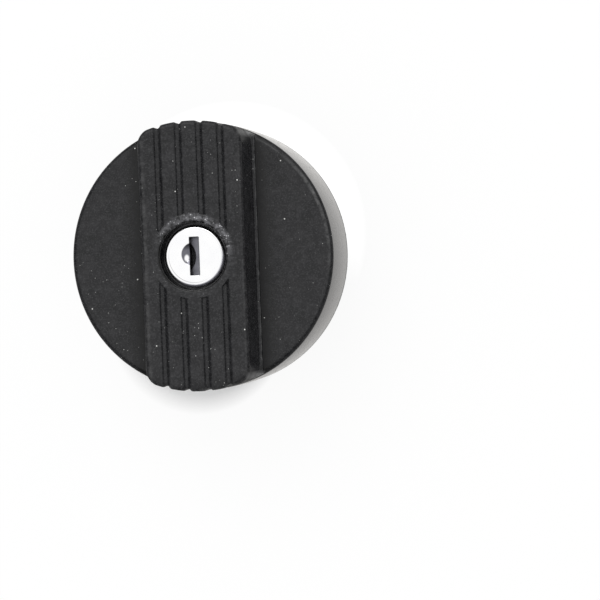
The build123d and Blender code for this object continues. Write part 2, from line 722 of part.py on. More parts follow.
# Plug: flange over the neck, spigot with two bayonet lugs, cup with the crown of notches
with BuildPart() as bayonet_plug:
    with BuildSketch(Plane.XZ):
        with BuildLine():
            Polyline(
                (0, cup_floor),
                (cup_r, cup_floor),
                (cup_r, plug_flange_top),
                (plug_flange_r, plug_flange_top),
                (plug_flange_r, GASKET_T),
                (plug_r - PLUG_RELIEF, GASKET_T),
                (plug_r - PLUG_RELIEF, -LUG_TOP - LUG_T),
                (plug_r, -LUG_TOP - LUG_T),
                (plug_r, plug_end + PLUG_CHAMFER),
                (plug_r - PLUG_CHAMFER, plug_end),
                (chamber_r + COVER_LIP, plug_end),
                (chamber_r + COVER_LIP, cover_top),
                (chamber_r, cover_top),
                (chamber_r, chamber_top),
                (0, chamber_top),
                close=True,
            )
        make_face()
    revolve(axis=Axis.Z)
    with BuildSketch(Plane.XY.offset(-LUG_TOP - LUG_T)):
        with BuildLine():
            lug_reach = plug_r + LUG_OUT
            Line((0, 0), ring_of(lug_reach, [90 - LUG_ANGLE / 2])[0])
            CenterArc((0, 0), lug_reach, 90 - LUG_ANGLE / 2, LUG_ANGLE)
            Line(ring_of(lug_reach, [90 + LUG_ANGLE / 2])[0], (0, 0))
        make_face()
        mirror(about=Plane.XZ)
        Circle((chamber_r + plug_r) / 2, mode=Mode.SUBTRACT)
    extrude(amount=LUG_T)
    lug_edges = bayonet_plug.edges().filter_by(GeomType.CIRCLE)
    lug_edges = lug_edges.filter_by(lambda e: abs(e.radius - lug_reach) < RUN_FIT)
    chamfer(lug_edges.group_by(Axis.Z)[0], PLUG_CHAMFER)
    with BuildSketch(Plane.XY.offset(bolt_low - FREE)):
        with PolarLocations(cup_r + (NOTCH_DEEP - NOTCH_W) / 2, NOTCH_COUNT):
            Rectangle(NOTCH_DEEP + NOTCH_W, NOTCH_W)
    extrude(amount=plug_flange_top + FREE - bolt_low, mode=Mode.SUBTRACT)
    with BuildSketch(Plane.XY.offset(chamber_top)):
        Circle(VENT_R)
    extrude(amount=CUP_FLOOR_T, mode=Mode.SUBTRACT)
bayonet_plug.part.label = "bayonet_plug"
export_step(bayonet_plug.part, "parts/bayonet_plug.step")

# Gasket that seals on the neck's rim
with BuildPart() as neck_gasket:
    with BuildSketch(Plane.XZ):
        with Locations(((gasket_in + gasket_r) / 2, GASKET_T / 2)):
            RectangleRounded(GASKET_W, GASKET_T, GASKET_ROUND)
    revolve(axis=Axis.Z)
neck_gasket.part.label = "neck_gasket"
export_step(neck_gasket.part, "parts/neck_gasket.step")

# Valve cover in the plug's end: seat, guide fingers and a guard across the opening
guide_r = VALVE_R + FREE
with BuildPart() as valve_cover:
    with BuildSketch(Plane.XY.offset(cover_low)):
        Circle(chamber_r + COVER_LIP - EASE)
        Circle(SEAT_R, mode=Mode.SUBTRACT)
    extrude(amount=COVER_T)
    with BuildSketch(Plane.XY.offset(cover_low)):
        Rectangle(2 * SEAT_R + SEAT_WALL, SEAT_WALL)
        Rectangle(SEAT_WALL, 2 * SEAT_R + SEAT_WALL)
    extrude(amount=COVER_T / 2)
    with BuildSketch(Plane.XY.offset(cover_top)):
        Circle(SEAT_R + SEAT_WALL)
        Circle(SEAT_R, mode=Mode.SUBTRACT)
    extrude(amount=SEAT_H)
    with BuildSketch(Plane.XY.offset(cover_top)):
        with PolarLocations(guide_r + FINGER_T / 2, 4):
            Rectangle(FINGER_T, FINGER_W)
    extrude(amount=chamber_top - cover_top - FREE)
valve_cover.part.label = "valve_cover"
export_step(valve_cover.part, "parts/valve_cover.step")

with BuildPart() as pressure_valve_seal:
    with BuildSketch(Plane.XY.offset(seat_top)):
        Circle(VALVE_R - VALVE_RIM)
        Circle(VALVE_HOLE_R, mode=Mode.SUBTRACT)
    extrude(amount=VALVE_SEAL_T)
pressure_valve_seal.part.label = "pressure_valve_seal"
export_step(pressure_valve_seal.part, "parts/pressure_valve_seal.step")

with BuildPart() as pressure_valve_plate:
    with BuildSketch(Plane.XY.offset(seal_top)):
        Circle(VALVE_R)
        Circle(VALVE_HOLE_R, mode=Mode.SUBTRACT)
    extrude(amount=VALVE_PLATE_T)
    with BuildSketch(Plane.XY.offset(plate_top)):
        Circle(VALVE_R)
        Circle(VALVE_R - VALVE_RIM, mode=Mode.SUBTRACT)
    extrude(amount=VALVE_RIM)
pressure_valve_plate.part.label = "pressure_valve_plate"
export_step(pressure_valve_plate.part, "parts/pressure_valve_plate.step")

spring_r = VALVE_R - VALVE_RIM - VALVE_SPRING_WIRE / 2 - FREE
pressure_spring = coil(
    spring_r, VALVE_SPRING_WIRE, VALVE_SPRING_LONG, VALVE_SPRING_TURNS, (0, 0, plate_top)
)
pressure_spring.part.label = "pressure_spring"
export_step(pressure_spring.part, "parts/pressure_spring.step")

# Vacuum poppet that hangs through the pressure valve, with its spring and keeper
keeper_low = plate_top + VACUUM_SPRING_LONG
stem_groove_r = STEM_R - 2 * EASE
with BuildPart() as vacuum_poppet:
    with BuildSketch(Plane.XY.offset(seat_top - POPPET_T)):
        Circle(POPPET_R)
    extrude(amount=POPPET_T)
    with BuildSketch(Plane.XY.offset(seat_top)):
        Circle(STEM_R)
    extrude(amount=keeper_low - seat_top)
    with BuildSketch(Plane.XY.offset(keeper_low)):
        Circle(stem_groove_r)
    extrude(amount=KEEPER_T)
    with BuildSketch(Plane.XY.offset(keeper_low + KEEPER_T)):
        Circle(STEM_R)
    extrude(amount=KEEPER_T)
vacuum_poppet.part.label = "vacuum_poppet"
export_step(vacuum_poppet.part, "parts/vacuum_poppet.step")

with BuildPart() as vacuum_keeper:
    with BuildSketch(Plane.XY.offset(keeper_low)):
        Circle(KEEPER_R)
        Circle(stem_groove_r + RUN_FIT, mode=Mode.SUBTRACT)
        with Locations((KEEPER_R / 2, 0)):
            Rectangle(KEEPER_R, KEEPER_MOUTH, mode=Mode.SUBTRACT)
    extrude(amount=KEEPER_T)
vacuum_keeper.part.label = "vacuum_keeper"
export_step(vacuum_keeper.part, "parts/vacuum_keeper.step")

vacuum_spring_r = VALVE_HOLE_R + VACUUM_SPRING_WIRE
vacuum_spring = coil(
    vacuum_spring_r, VACUUM_SPRING_WIRE, VACUUM_SPRING_LONG, VALVE_SPRING_TURNS, (0, 0, plate_top)
)
vacuum_spring.part.label = "vacuum_spring"
export_step(vacuum_spring.part, "parts/vacuum_spring.step")
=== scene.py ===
import json

import bpy
import numpy as np
from mathutils import Matrix, Vector

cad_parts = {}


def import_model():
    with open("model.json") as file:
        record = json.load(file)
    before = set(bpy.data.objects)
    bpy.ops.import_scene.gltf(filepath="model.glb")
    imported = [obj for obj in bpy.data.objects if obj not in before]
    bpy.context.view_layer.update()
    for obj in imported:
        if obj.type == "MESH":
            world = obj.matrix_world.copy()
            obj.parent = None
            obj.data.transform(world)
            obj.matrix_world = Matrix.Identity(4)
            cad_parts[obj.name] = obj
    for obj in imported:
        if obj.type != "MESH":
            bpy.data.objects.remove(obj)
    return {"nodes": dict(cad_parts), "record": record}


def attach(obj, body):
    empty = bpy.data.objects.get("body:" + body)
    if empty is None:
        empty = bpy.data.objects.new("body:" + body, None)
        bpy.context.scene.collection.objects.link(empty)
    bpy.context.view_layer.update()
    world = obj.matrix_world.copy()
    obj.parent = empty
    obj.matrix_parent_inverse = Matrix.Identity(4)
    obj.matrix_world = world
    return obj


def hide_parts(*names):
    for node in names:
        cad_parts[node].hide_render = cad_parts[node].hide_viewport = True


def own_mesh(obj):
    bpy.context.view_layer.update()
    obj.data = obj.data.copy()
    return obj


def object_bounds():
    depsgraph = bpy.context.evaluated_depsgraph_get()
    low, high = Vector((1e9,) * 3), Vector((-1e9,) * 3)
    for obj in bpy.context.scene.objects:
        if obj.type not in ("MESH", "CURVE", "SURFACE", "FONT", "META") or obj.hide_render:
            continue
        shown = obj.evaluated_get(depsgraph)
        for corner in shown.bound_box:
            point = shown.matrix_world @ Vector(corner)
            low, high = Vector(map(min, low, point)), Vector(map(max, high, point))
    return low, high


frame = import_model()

CAD_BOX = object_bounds()
MM = 0.001

# Sizes in millimetres, as the cap is built: +Z along its axis, the key slot and grip bar along Y
CAP_R, REAR_R = 38.0, 38.3
REAR_Z, FACE_Z, FACE_UNDER = -8.0, 16.9, 14.3
FACE_ROUND, REAR_ROUND = 1.5, 0.15
FLARE, FLARE_POWER = 0.55, 2.5  # how much the skirt widens at the rear, and how late it starts to
SKIRT_IN, HOLLOW_ROUND = 35.5, 0.8
BAR_TOP, BAR_H = 26.2, 9.3
BAR_HALF, BAR_DRAFT = 14.8, 1.4
BAR_END = 37.8
BAR_EDGE_ROUND, BAR_CORNER_ROUND = 1.3, 3.0
BAR_WALL, BAR_FOOT_ROUND = 2.6, 0.4
LEDGE_W, LEDGE_H, LEDGE_ROUND, LEDGE_FOOT_ROUND = 0.8, 0.6, 0.2, 0.15
PITCH, GROOVES = 6.0, 4
GROOVE_HALF, GROOVE_DEEP, GROOVE_ROUND = 0.95, 0.7, 0.3
LAND_R, HOLE_R, HOLE_ROUND = 12.0, 9.5, 0.7
TUBE_LOW = 10.0
FLANGE_TOP, RING_TOP, RING_LOW = 6.0, 2.8, 1.2
RIB_IN_R, RIB_OUT_R, RIB_GAP, MIDDLE_RIB_HALF = 25.5, 27.5, 0.3, 1.0
RING_SCREWS_R, HOUSING_SCREWS_R = 33.3, 18.9
RING_BOSS_R, HOUSING_BOSS_R = 2.3, 2.6

# Lock face and shutter
LOCK_FACE_R, LOCK_FACE_Z, LOCK_FACE_LOW = 8.75, 24.0, 21.7
SHEET, ROLL_ROUND = 0.45, 1.0
ROLL_LINE_R, ROLL_LINE_UP, ROLL_LINE_ARC, ROLL_LINE_ROUND = 7.6, 0.72, 0.775, 0.05  # pressed line
SLOT_HALF_X, SLOT_HALF_Y, SLOT_CORNER, SLOT_ROUND = 1.35, 5.35, 0.15, 0.2
DIMPLE_X, DIMPLE_Y, DIMPLE_R, DIMPLE_DEEP = -0.5, 0.55, 3.3, 0.8
DIMPLE_MARGIN, DIMPLE_ROUND, SHEET_BEND_ROUND = 0.3, 0.12, 0.1
DIMPLE_EVEN = 0.85  # evens out how fast the dimple's field grows
FLAP_X, FLAP_Z, FLAP_R, FLAP_T = 1.2625, 14.6965, 8.169, 0.55
FLAP_LEFT, FLAP_HALF_Y = -1.85, 5.45
NOTCH_X, NOTCH_R = -4.85, 5.0
FLAP_ROUND, KNUCKLE_ROUND, NOTCH_ROUND = 0.12, 0.1, 0.15
PIN_X, PIN_Z, KNUCKLE_R, PIN_HOLE_R = 2.3, 22.0, 0.8, 0.55
COIL_HALF, COIL_ROOM = 1.6, 1.02

# Plug, gasket, ring and valve cover
PLUG_R, PLUG_RELIEF, PLUG_END, PLUG_CHAMFER = 22.0, 0.4, -25.0, 1.0
PLUG_FLANGE_R, GASKET_T = 30.4, 3.0
LUG_R, LUG_HALF_ANGLE, LUG_TOP, LUG_LOW = 25.5, 22.0, -6.5, -11.0
LUG_ROUND, LUG_SIDE_ROUND, LUG_FOOT_ROUND = 0.6, 0.4, 0.3
PLUG_FLANGE_ROUND, FLANGE_FOOT_ROUND, PLUG_STEP_ROUND = 0.4, 0.2, 0.1
CUP_R, CUP_FLOOR, CHAMBER_TOP, CHAMBER_R = 17.0, -11.0, -12.6, 18.4
CUP_ROUND, CUP_EDGE_ROUND, CHAMBER_ROUND, CHAMBER_EDGE_ROUND, VENT_ROUND = 0.4, 0.2, 0.4, 0.1, 0.2
NOTCHES, NOTCH_END, NOTCH_HALF, NOTCH_LOW = 12, 19.8, 2.1, -9.9
NOTCH_CORNER, NOTCH_EDGE_ROUND = 0.3, 0.15
COVER_FIT, OVERLAP = 0.1, 1.0  # clearance round the cover, and how far joined forms run into each other
VENT_R = 4.6
GASKET_IN, GASKET_OUT, GASKET_ROUND = 21.7, 28.6, 0.7
RING_IN, RING_OUT, RING_ROUND, SCREW_FIT = 29.2, 35.4, 0.25, 0.1
SCREW_HEAD_R, SCREW_HEAD_H, SCREW_HEAD_ROUND, SCREW_R, SCREW_LOW, SCREW_TOP = 2.1, 1.2, 0.45, 1.1, 0.5, 9.2
THREAD_PITCH, THREAD_DEEP, SCREW_NECK_ROUND = 0.9, 0.12, 0.1
CROSS_LONG, CROSS_HALF, CROSS_ROUND = 1.15, 0.3, 0.08
COVER_LOW, COVER_TOP, COVER_R, COVER_MOUTH_R = -24.7, -22.2, 19.2, 5.0
COVER_ROUND, COVER_FOOT_ROUND, COVER_MOUTH_ROUND = 0.25, 0.3, 0.3
SEAT_R, SEAT_TOP, SEAT_ROUND = 6.7, -19.2, 0.2
GUARD_HALF, GUARD_ROUND, GUARD_FOOT_ROUND, GUARD_INTO_WALL = 0.85, 0.2, 0.15, 0.5
FINGER_IN, FINGER_OUT, FINGER_HALF, FINGER_TOP, FINGER_ROUND = 9.6, 11.2, 1.5, -13.0, 0.2

# Springs of the valves, which stand on the valve's plate
COIL_TURNS, COIL_STEPS = 3, 48
VALVE_SPRING_R, VALVE_WIRE, VALVE_SPRING_LONG, VALVE_LIFT = 7.55, 0.9, 4.8, 1.5
VACUUM_SPRING_R, VACUUM_WIRE, VACUUM_SPRING_LONG, VACUUM_DROP = 2.55, 0.45, 3.0, 1.2
PLATE_TOP = CHAMBER_TOP - VALVE_SPRING_LONG


def ring_spots(radius, angles):
    """Points on a circle about the cap's axis, at angles in degrees."""
    turn = np.radians(angles)
    return list(zip(radius * np.cos(turn), radius * np.sin(turn)))


RING_SCREWS = ring_spots(RING_SCREWS_R, [45, 135, 225, 315])
HOUSING_SCREWS = ring_spots(HOUSING_SCREWS_R, [-30, 30, 150, 210])


# Distance fields: each is negative inside a form, and forms are joined with rounded edges
SLOPE_STEP = 0.004  # distance over which a field's slope is measured
PULLS, PULL, LEAST_STEEP = 4, 0.9, 0.25  # how often and how far points are pulled onto the surface


def both(a, b, rounding=0.0):
    """Where two forms overlap, with the edge between them rounded."""
    if rounding == 0:
        return np.maximum(a, b)
    reach = np.hypot(np.maximum(a + rounding, 0), np.maximum(b + rounding, 0))
    return np.minimum(np.maximum(a, b), -rounding) + reach


def either(a, b, rounding=0.0):
    """Two forms together, with the corner between them filled by a fillet."""
    return -both(-a, -b, rounding)


def without(a, b, rounding=0.0):
    """The first form with the second cut out of it."""
    return both(a, -b, rounding)


def slab(value, low, high, rounding=0.0):
    """The space between two parallel planes."""
    return both(low - value, value - high, rounding)


def tube(radius, inner, outer):
    """The space between two cylinders about the axis."""
    return slab(radius, inner, outer)


def bosses(x, y, spots, radius):
    """Upright cylinders at several places."""
    form = np.hypot(x - spots[0][0], y - spots[0][1]) - radius
    for spot in spots[1:]:
        form = np.minimum(form, np.hypot(x - spot[0], y - spot[1]) - radius)
    return form


def lines(*stretches):
    """Grid lines from stretches of (start, end, step), joined in order."""
    parts = []
    for start, end, step in stretches:
        count = max(1, int(round((end - start) / step)))
        parts.append(np.linspace(start, end, count, endpoint=False))
    return np.append(np.concatenate(parts), stretches[-1][1])


def mirrored(*stretches):
    """Grid lines for both sides of zero, from stretches that start at zero."""
    half = lines(*stretches)
    return np.concatenate([-half[:0:-1], half])


def gradient(form, points):
    """Direction in which a distance field grows fastest, at points."""
    slopes = []
    for axis in range(3):
        ahead, behind = points.copy(), points.copy()
        ahead[:, axis] += SLOPE_STEP
        behind[:, axis] -= SLOPE_STEP
        slopes.append((form(*ahead.T) - form(*behind.T)) / (2 * SLOPE_STEP))
    return np.stack(slopes, axis=1)


def surface(form, xs, ys, zs):
    """Points, faces and normals of the form's surface, with one point in each grid cell that it crosses."""
    values = form(xs[:, None, None], ys[None, :, None], zs[None, None, :])
    values = np.broadcast_to(values, (len(xs), len(ys), len(zs)))
    inside = values < 0
    cells = tuple(n - 1 for n in inside.shape)
    corners = np.zeros(cells, np.int8)
    for i in (0, 1):
        for j in (0, 1):
            for k in (0, 1):
                corners += inside[i : i + cells[0], j : j + cells[1], k : k + cells[2]]
    cell = np.argwhere((corners > 0) & (corners < 8))
    numbers = np.full(cells, -1, np.int64)
    numbers[tuple(cell.T)] = np.arange(len(cell))
    total, count = np.zeros((len(cell), 3)), np.zeros(len(cell))
    grid = (xs, ys, zs)
    for axis in range(3):
        others = [a for a in range(3) if a != axis]
        for first in (0, 1):
            for second in (0, 1):
                start = cell.copy()
                start[:, others[0]] += first
                start[:, others[1]] += second
                end = start.copy()
                end[:, axis] += 1
                a, b = values[tuple(start.T)], values[tuple(end.T)]
                crossed = (a < 0) != (b < 0)
                share = np.where(crossed, a / np.where(crossed, a - b, 1), 0)
                for other in range(3):
                    place = grid[other][start[:, other]]
                    if other == axis:
                        place = place + share * (grid[other][end[:, other]] - place)
                    total[:, other] += np.where(crossed, place, 0)
                count += crossed
    points = total / count[:, None]
    for _ in range(PULLS):
        slope = gradient(form, points)
        steep = np.maximum((slope**2).sum(axis=1), LEAST_STEEP)
        points -= PULL * (form(*points.T) / steep)[:, None] * slope
    quads = []
    for axis in range(3):
        before, after = [slice(None)] * 3, [slice(None)] * 3
        before[axis], after[axis] = slice(None, -1), slice(1, None)
        low, high = inside[tuple(before)], inside[tuple(after)]
        edge = np.argwhere(low != high)
        up = low[tuple(edge.T)]
        first, second = [(1, 2), (2, 0), (0, 1)][axis]
        loop = []
        for step_first, step_second in ((0, 0), (1, 0), (1, 1), (0, 1)):
            corner = edge.copy()
            corner[:, first] -= 1 - step_first
            corner[:, second] -= 1 - step_second
            loop.append(numbers[tuple(corner.T)])
        loop = np.stack(loop, axis=1)
        quads.append(np.where(up[:, None], loop, loop[:, ::-1]))
    normals = gradient(form, points)
    normals /= np.linalg.norm(normals, axis=1, keepdims=True)
    return points, np.concatenate(quads), normals


def carve(name, form, xs, ys, zs, spots=((0, 0),)):
    """A mesh object of the form in metres, repeated at each spot."""
    points, faces, normals = surface(form, xs, ys, zs)
    all_points = np.concatenate([points + (*spot, 0) for spot in spots]) * MM
    all_faces = np.concatenate([faces + number * len(points) for number in range(len(spots))])
    all_normals = np.tile(normals, (len(spots), 1))
    mesh = bpy.data.meshes.new(name)
    mesh.from_pydata(all_points.tolist(), [], all_faces.tolist())
    mesh.update()
    mesh.polygons.foreach_set("use_smooth", [True] * len(mesh.polygons))
    mesh.normals_split_custom_set_from_vertices(all_normals.tolist())
    thing = bpy.data.objects.new(name, mesh)
    bpy.context.scene.collection.objects.link(thing)
    return thing


# Handle: skirt, face, ribbed grip bar, lock hole, and the ribs and bosses inside


def grip_bar(x, z, radius):
    """Bar with drafted walls and rounded corners, and round grooves from the land down over its ends."""
    lean = (BAR_TOP - z) * BAR_DRAFT / BAR_H
    bar = both(np.abs(x) - BAR_HALF - lean, radius - BAR_END, BAR_CORNER_ROUND)
    bar = both(bar, z - BAR_TOP, BAR_EDGE_ROUND)
    number = np.clip(np.round(x / PITCH + (GROOVES - 1) / 2), 0, GROOVES - 1)
    across = np.abs(x - (number - (GROOVES - 1) / 2) * PITCH)
    arc = (GROOVE_HALF**2 + GROOVE_DEEP**2) / (2 * GROOVE_DEEP)
    lift = arc - GROOVE_DEEP
    to_axis = np.abs(both(radius - BAR_END - lift, z - BAR_TOP - lift, BAR_EDGE_ROUND + lift))
    groove = both(np.hypot(across, to_axis) - arc, LAND_R - radius)
    return without(bar, groove, GROOVE_ROUND)


def handle(x, y, z):
    """Skirt and face with the bar on them, hollow from below round the lock tube, ribs and bosses."""
    radius = np.hypot(x, y)
    lean = (FACE_Z - z) * (REAR_R - CAP_R) / (FACE_Z - REAR_Z)
    bulge = FLARE * (1 - np.clip((z - REAR_Z) / (FACE_Z - REAR_Z), 0, 1) ** FLARE_POWER)
    body = both(radius - CAP_R - bulge, z - FACE_Z, FACE_ROUND)
    body = both(body, REAR_Z - z, REAR_ROUND)
    ledge = both(np.abs(x) - BAR_HALF - BAR_DRAFT - LEDGE_W, radius - BAR_END)
    ledge = both(ledge, z - FACE_Z - LEDGE_H, LEDGE_ROUND)
    body = either(body, both(ledge, FACE_UNDER - z), LEDGE_FOOT_ROUND)
    body = either(body, both(grip_bar(x, z, radius), FACE_UNDER - z), BAR_FOOT_ROUND)
    hollow = both(radius - SKIRT_IN - lean, z - FACE_UNDER, HOLLOW_ROUND)
    room = both(np.abs(x) - BAR_HALF + BAR_WALL, z - BAR_TOP + BAR_WALL, HOLLOW_ROUND)
    outside = both(RIB_OUT_R - radius, radius - BAR_END + BAR_WALL)
    within = both(both(radius - RIB_IN_R, LAND_R - radius), MIDDLE_RIB_HALF - np.abs(x))
    room = both(room, either(outside, within))
    inner = either(tube(radius, HOLE_R, LAND_R), bosses(x, y, HOUSING_SCREWS, HOUSING_BOSS_R))
    inner = both(inner, TUBE_LOW - z)
    inner = either(inner, both(tube(radius, RIB_IN_R, RIB_OUT_R), FLANGE_TOP + RIB_GAP - z))
    inner = either(inner, both(bosses(x, y, RING_SCREWS, RING_BOSS_R), RING_TOP - z))
    hollow = without(either(hollow, both(room, FACE_UNDER - OVERLAP - z)), inner)
    body = without(body, hollow)
    hole = both(HOLE_R - radius, z - BAR_TOP, HOLE_ROUND)
    return np.where(radius < LAND_R, both(body, hole), body)


def handle_piece():
    xs = mirrored((0, 1.8, 0.6), (1.8, 4.2, 0.22), (4.2, 7.8, 0.6), (7.8, 10.2, 0.22), (10.2, 13.4, 0.6),
                  (13.4, 17.4, 0.28), (17.4, 35, 1.5), (35, 39.2, 0.55))
    ys = mirrored((0, 7.6, 0.5), (7.6, 12.4, 0.3), (12.4, 32.4, 1.6), (32.4, 39.2, 0.34))
    zs = lines((-8.6, -6.2, 0.26), (-6.2, 13, 1.7), (13, 15.2, 0.5), (15.2, 18, 0.24), (18, 23, 0.8),
               (23, 26.8, 0.22))
    return carve("cap_handle", handle, xs, ys, zs)


# Lock face: sheet rolled over the barrel's head, with the key slot and the thumb dimple


def lock_face(x, y, z):
    """Hollow cap of sheet with its rolled edge, a pressed line, the dimple and the slot."""
    radius = np.hypot(x, y)
    outer = both(both(radius - LOCK_FACE_R, z - LOCK_FACE_Z, ROLL_ROUND), LOCK_FACE_LOW - z)
    line = np.hypot(radius - ROLL_LINE_R, z - LOCK_FACE_Z - ROLL_LINE_UP) - ROLL_LINE_ARC
    outer = without(outer, line, ROLL_LINE_ROUND)
    inner = both(radius - LOCK_FACE_R + SHEET, z - LOCK_FACE_Z + SHEET, ROLL_ROUND - SHEET)
    reach = np.hypot(x - DIMPLE_X, y - DIMPLE_Y) / DIMPLE_R
    deep = DIMPLE_DEEP * (1 - reach**2)
    dimple = both(DIMPLE_EVEN * (LOCK_FACE_Z - deep - z), x - SLOT_HALF_X + DIMPLE_MARGIN)
    dimple = both(dimple, DIMPLE_R * (reach - 1) - DIMPLE_MARGIN)
    inner = without(inner, dimple - SHEET, SHEET_BEND_ROUND)
    sheet = without(outer, inner)
    sheet = without(sheet, dimple, DIMPLE_ROUND)
    slot = both(np.abs(x) - SLOT_HALF_X, np.abs(y) - SLOT_HALF_Y, SLOT_CORNER)
    return without(sheet, slot, SLOT_ROUND)


def lock_face_piece():
    xs = mirrored((0, 1.0, 0.2), (1.0, 1.8, 0.09), (1.8, 5.4, 0.15), (5.4, 9.0, 0.1))
    ys = mirrored((0, 3.6, 0.15), (3.6, 5.0, 0.2), (5.0, 5.8, 0.09), (5.8, 9.0, 0.1))
    zs = lines((21.5, 22.4, 0.2), (22.4, 24.2, 0.1))
    return carve("lock_face", lock_face, xs, ys, zs)


# Shutter: curved flap with a concave free edge, hinged on a pin at the slot's right


def shutter(x, y, z):
    """Arched flap with a knuckle round its pin, room for the coil, and a round bite out of the free edge."""
    arch = slab(np.hypot(x - FLAP_X, z - FLAP_Z), FLAP_R - FLAP_T, FLAP_R, FLAP_ROUND)
    arch = both(both(arch, FLAP_LEFT - x, KNUCKLE_ROUND), x - PIN_X)
    from_pin = np.hypot(x - PIN_X, z - PIN_Z)
    flap = either(arch, from_pin - KNUCKLE_R, KNUCKLE_ROUND)
    flap = without(flap, from_pin - PIN_HOLE_R)
    flap = both(flap, np.abs(y) - FLAP_HALF_Y, FLAP_ROUND)
    flap = without(flap, both(np.abs(x - PIN_X) - COIL_ROOM, np.abs(y) - COIL_HALF))
    return without(flap, np.hypot(x - NOTCH_X, y) - NOTCH_R, NOTCH_ROUND)


def shutter_piece():
    xs = lines((-2.1, 3.3, 0.1))
    ys = mirrored((0, 5.6, 0.12))
    zs = lines((21.0, 23.0, 0.08))
    return carve("shutter_flap", shutter, xs, ys, zs)


# Plug: flange, spigot with two lugs, cup with its crown of notches, and the valve chamber


def plug(x, y, z):
    radius = np.hypot(x, y)
    end = both(both(radius - PLUG_R, z - LUG_LOW), PLUG_END - z, PLUG_CHAMFER)
    form = both(radius - PLUG_R + PLUG_RELIEF, slab(z, LUG_LOW - OVERLAP, GASKET_T + OVERLAP))
    form = either(form, end, PLUG_STEP_ROUND)
    flange = both(radius - PLUG_FLANGE_R, slab(z, GASKET_T, FLANGE_TOP), PLUG_FLANGE_ROUND)
    form = either(form, flange, FLANGE_FOOT_ROUND)
    side = np.radians(LUG_HALF_ANGLE)
    sides = np.abs(x) * np.cos(side) - np.abs(y) * np.sin(side)
    lugs = both(both(radius - LUG_R, slab(z, LUG_LOW, LUG_TOP), LUG_ROUND), sides, LUG_SIDE_ROUND)
    form = either(form, lugs, LUG_FOOT_ROUND)
    form = without(form, both(radius - CUP_R, CUP_FLOOR - z, CUP_ROUND), CUP_EDGE_ROUND)
    step = 2 * np.pi / NOTCHES
    angle = np.arctan2(y, x)
    angle = angle - step * np.round(angle / step)
    to_side, to_end = np.abs(radius * np.sin(angle)) - NOTCH_HALF, radius * np.cos(angle) - NOTCH_END
    notch = both(to_side, to_end, NOTCH_CORNER)
    notch = both(both(notch, CUP_R - 2 * OVERLAP - radius), NOTCH_LOW - z)
    form = without(form, notch, NOTCH_EDGE_ROUND)
    chamber = both(radius - CHAMBER_R, z - CHAMBER_TOP, CHAMBER_ROUND)
    chamber = either(chamber, both(radius - COVER_R - COVER_FIT, z - COVER_TOP))
    form = without(form, both(chamber, z - CHAMBER_TOP), CHAMBER_EDGE_ROUND)
    return without(form, both(radius - VENT_R, slab(z, PLUG_END, 0)), VENT_ROUND)


def plug_piece():
    xs = mirrored((0, 12, 0.9), (12, 20, 0.6), (20, 31, 0.4))
    zs = lines((-25.6, -23.4, 0.25), (-23.4, -11.6, 0.9), (-11.6, -10.4, 0.25), (-10.4, -7, 0.6),
               (-7, -6, 0.25), (-6, 2.4, 0.9), (2.4, 6.6, 0.25))
    return carve("plug_moulding", plug, xs, xs, zs)


def gasket(x, y, z):
    return both(slab(np.hypot(x, y), GASKET_IN, GASKET_OUT), slab(z, 0, GASKET_T), GASKET_ROUND)


def gasket_piece():
    xs = mirrored((0, 19, 1.0), (19, 29, 0.45))
    return carve("gasket_ring", gasket, xs, xs, lines((-0.4, 3.4, 0.3)))


def holding_ring(x, y, z):
    form = both(slab(np.hypot(x, y), RING_IN, RING_OUT), slab(z, RING_LOW, RING_TOP), RING_ROUND)
    return without(form, bosses(x, y, RING_SCREWS, SCREW_R + SCREW_FIT))


def holding_ring_piece():
    xs = mirrored((0, 20, 1.0), (20, 36, 0.4))
    return carve("holding_ring", holding_ring, xs, xs, lines((0.9, 3.1, 0.2)))


def valve_cover(x, y, z):
    """Disc with the valve's raised seat, a crossed guard in its mouth, and four guide fingers."""
    radius = np.hypot(x, y)
    form = both(radius - COVER_R, slab(z, COVER_LOW, COVER_TOP), COVER_ROUND)
    seat = both(radius - SEAT_R, slab(z, COVER_TOP - OVERLAP, SEAT_TOP), SEAT_ROUND)
    form = either(form, seat, COVER_FOOT_ROUND)
    form = without(form, radius - COVER_MOUTH_R, COVER_MOUTH_ROUND)
    bars = either(np.abs(x) - GUARD_HALF, np.abs(y) - GUARD_HALF)
    bars = both(bars, slab(z, COVER_LOW, (COVER_LOW + COVER_TOP) / 2), GUARD_ROUND)
    form = either(form, both(bars, radius - COVER_MOUTH_R - GUARD_INTO_WALL), GUARD_FOOT_ROUND)
    across = np.minimum(np.abs(x), np.abs(y))
    along = np.maximum(np.abs(x), np.abs(y))
    fingers = both(slab(along, FINGER_IN, FINGER_OUT), across - FINGER_HALF, FINGER_ROUND)
    fingers = both(fingers, slab(z, COVER_TOP - OVERLAP, FINGER_TOP), FINGER_ROUND)
    return either(form, fingers, COVER_FOOT_ROUND)


def valve_cover_piece():
    xs = mirrored((0, 6, 0.3), (6, 9, 0.8), (9, 12, 0.4), (12, 18.4, 0.9), (18.4, 19.6, 0.3))
    zs = lines((-25, -22, 0.2), (-22, -19.6, 0.5), (-19.6, -18.8, 0.2), (-18.8, -13.4, 0.9),
               (-13.4, -12.7, 0.2))
    return carve("valve_end_cover", valve_cover, xs, xs, zs)


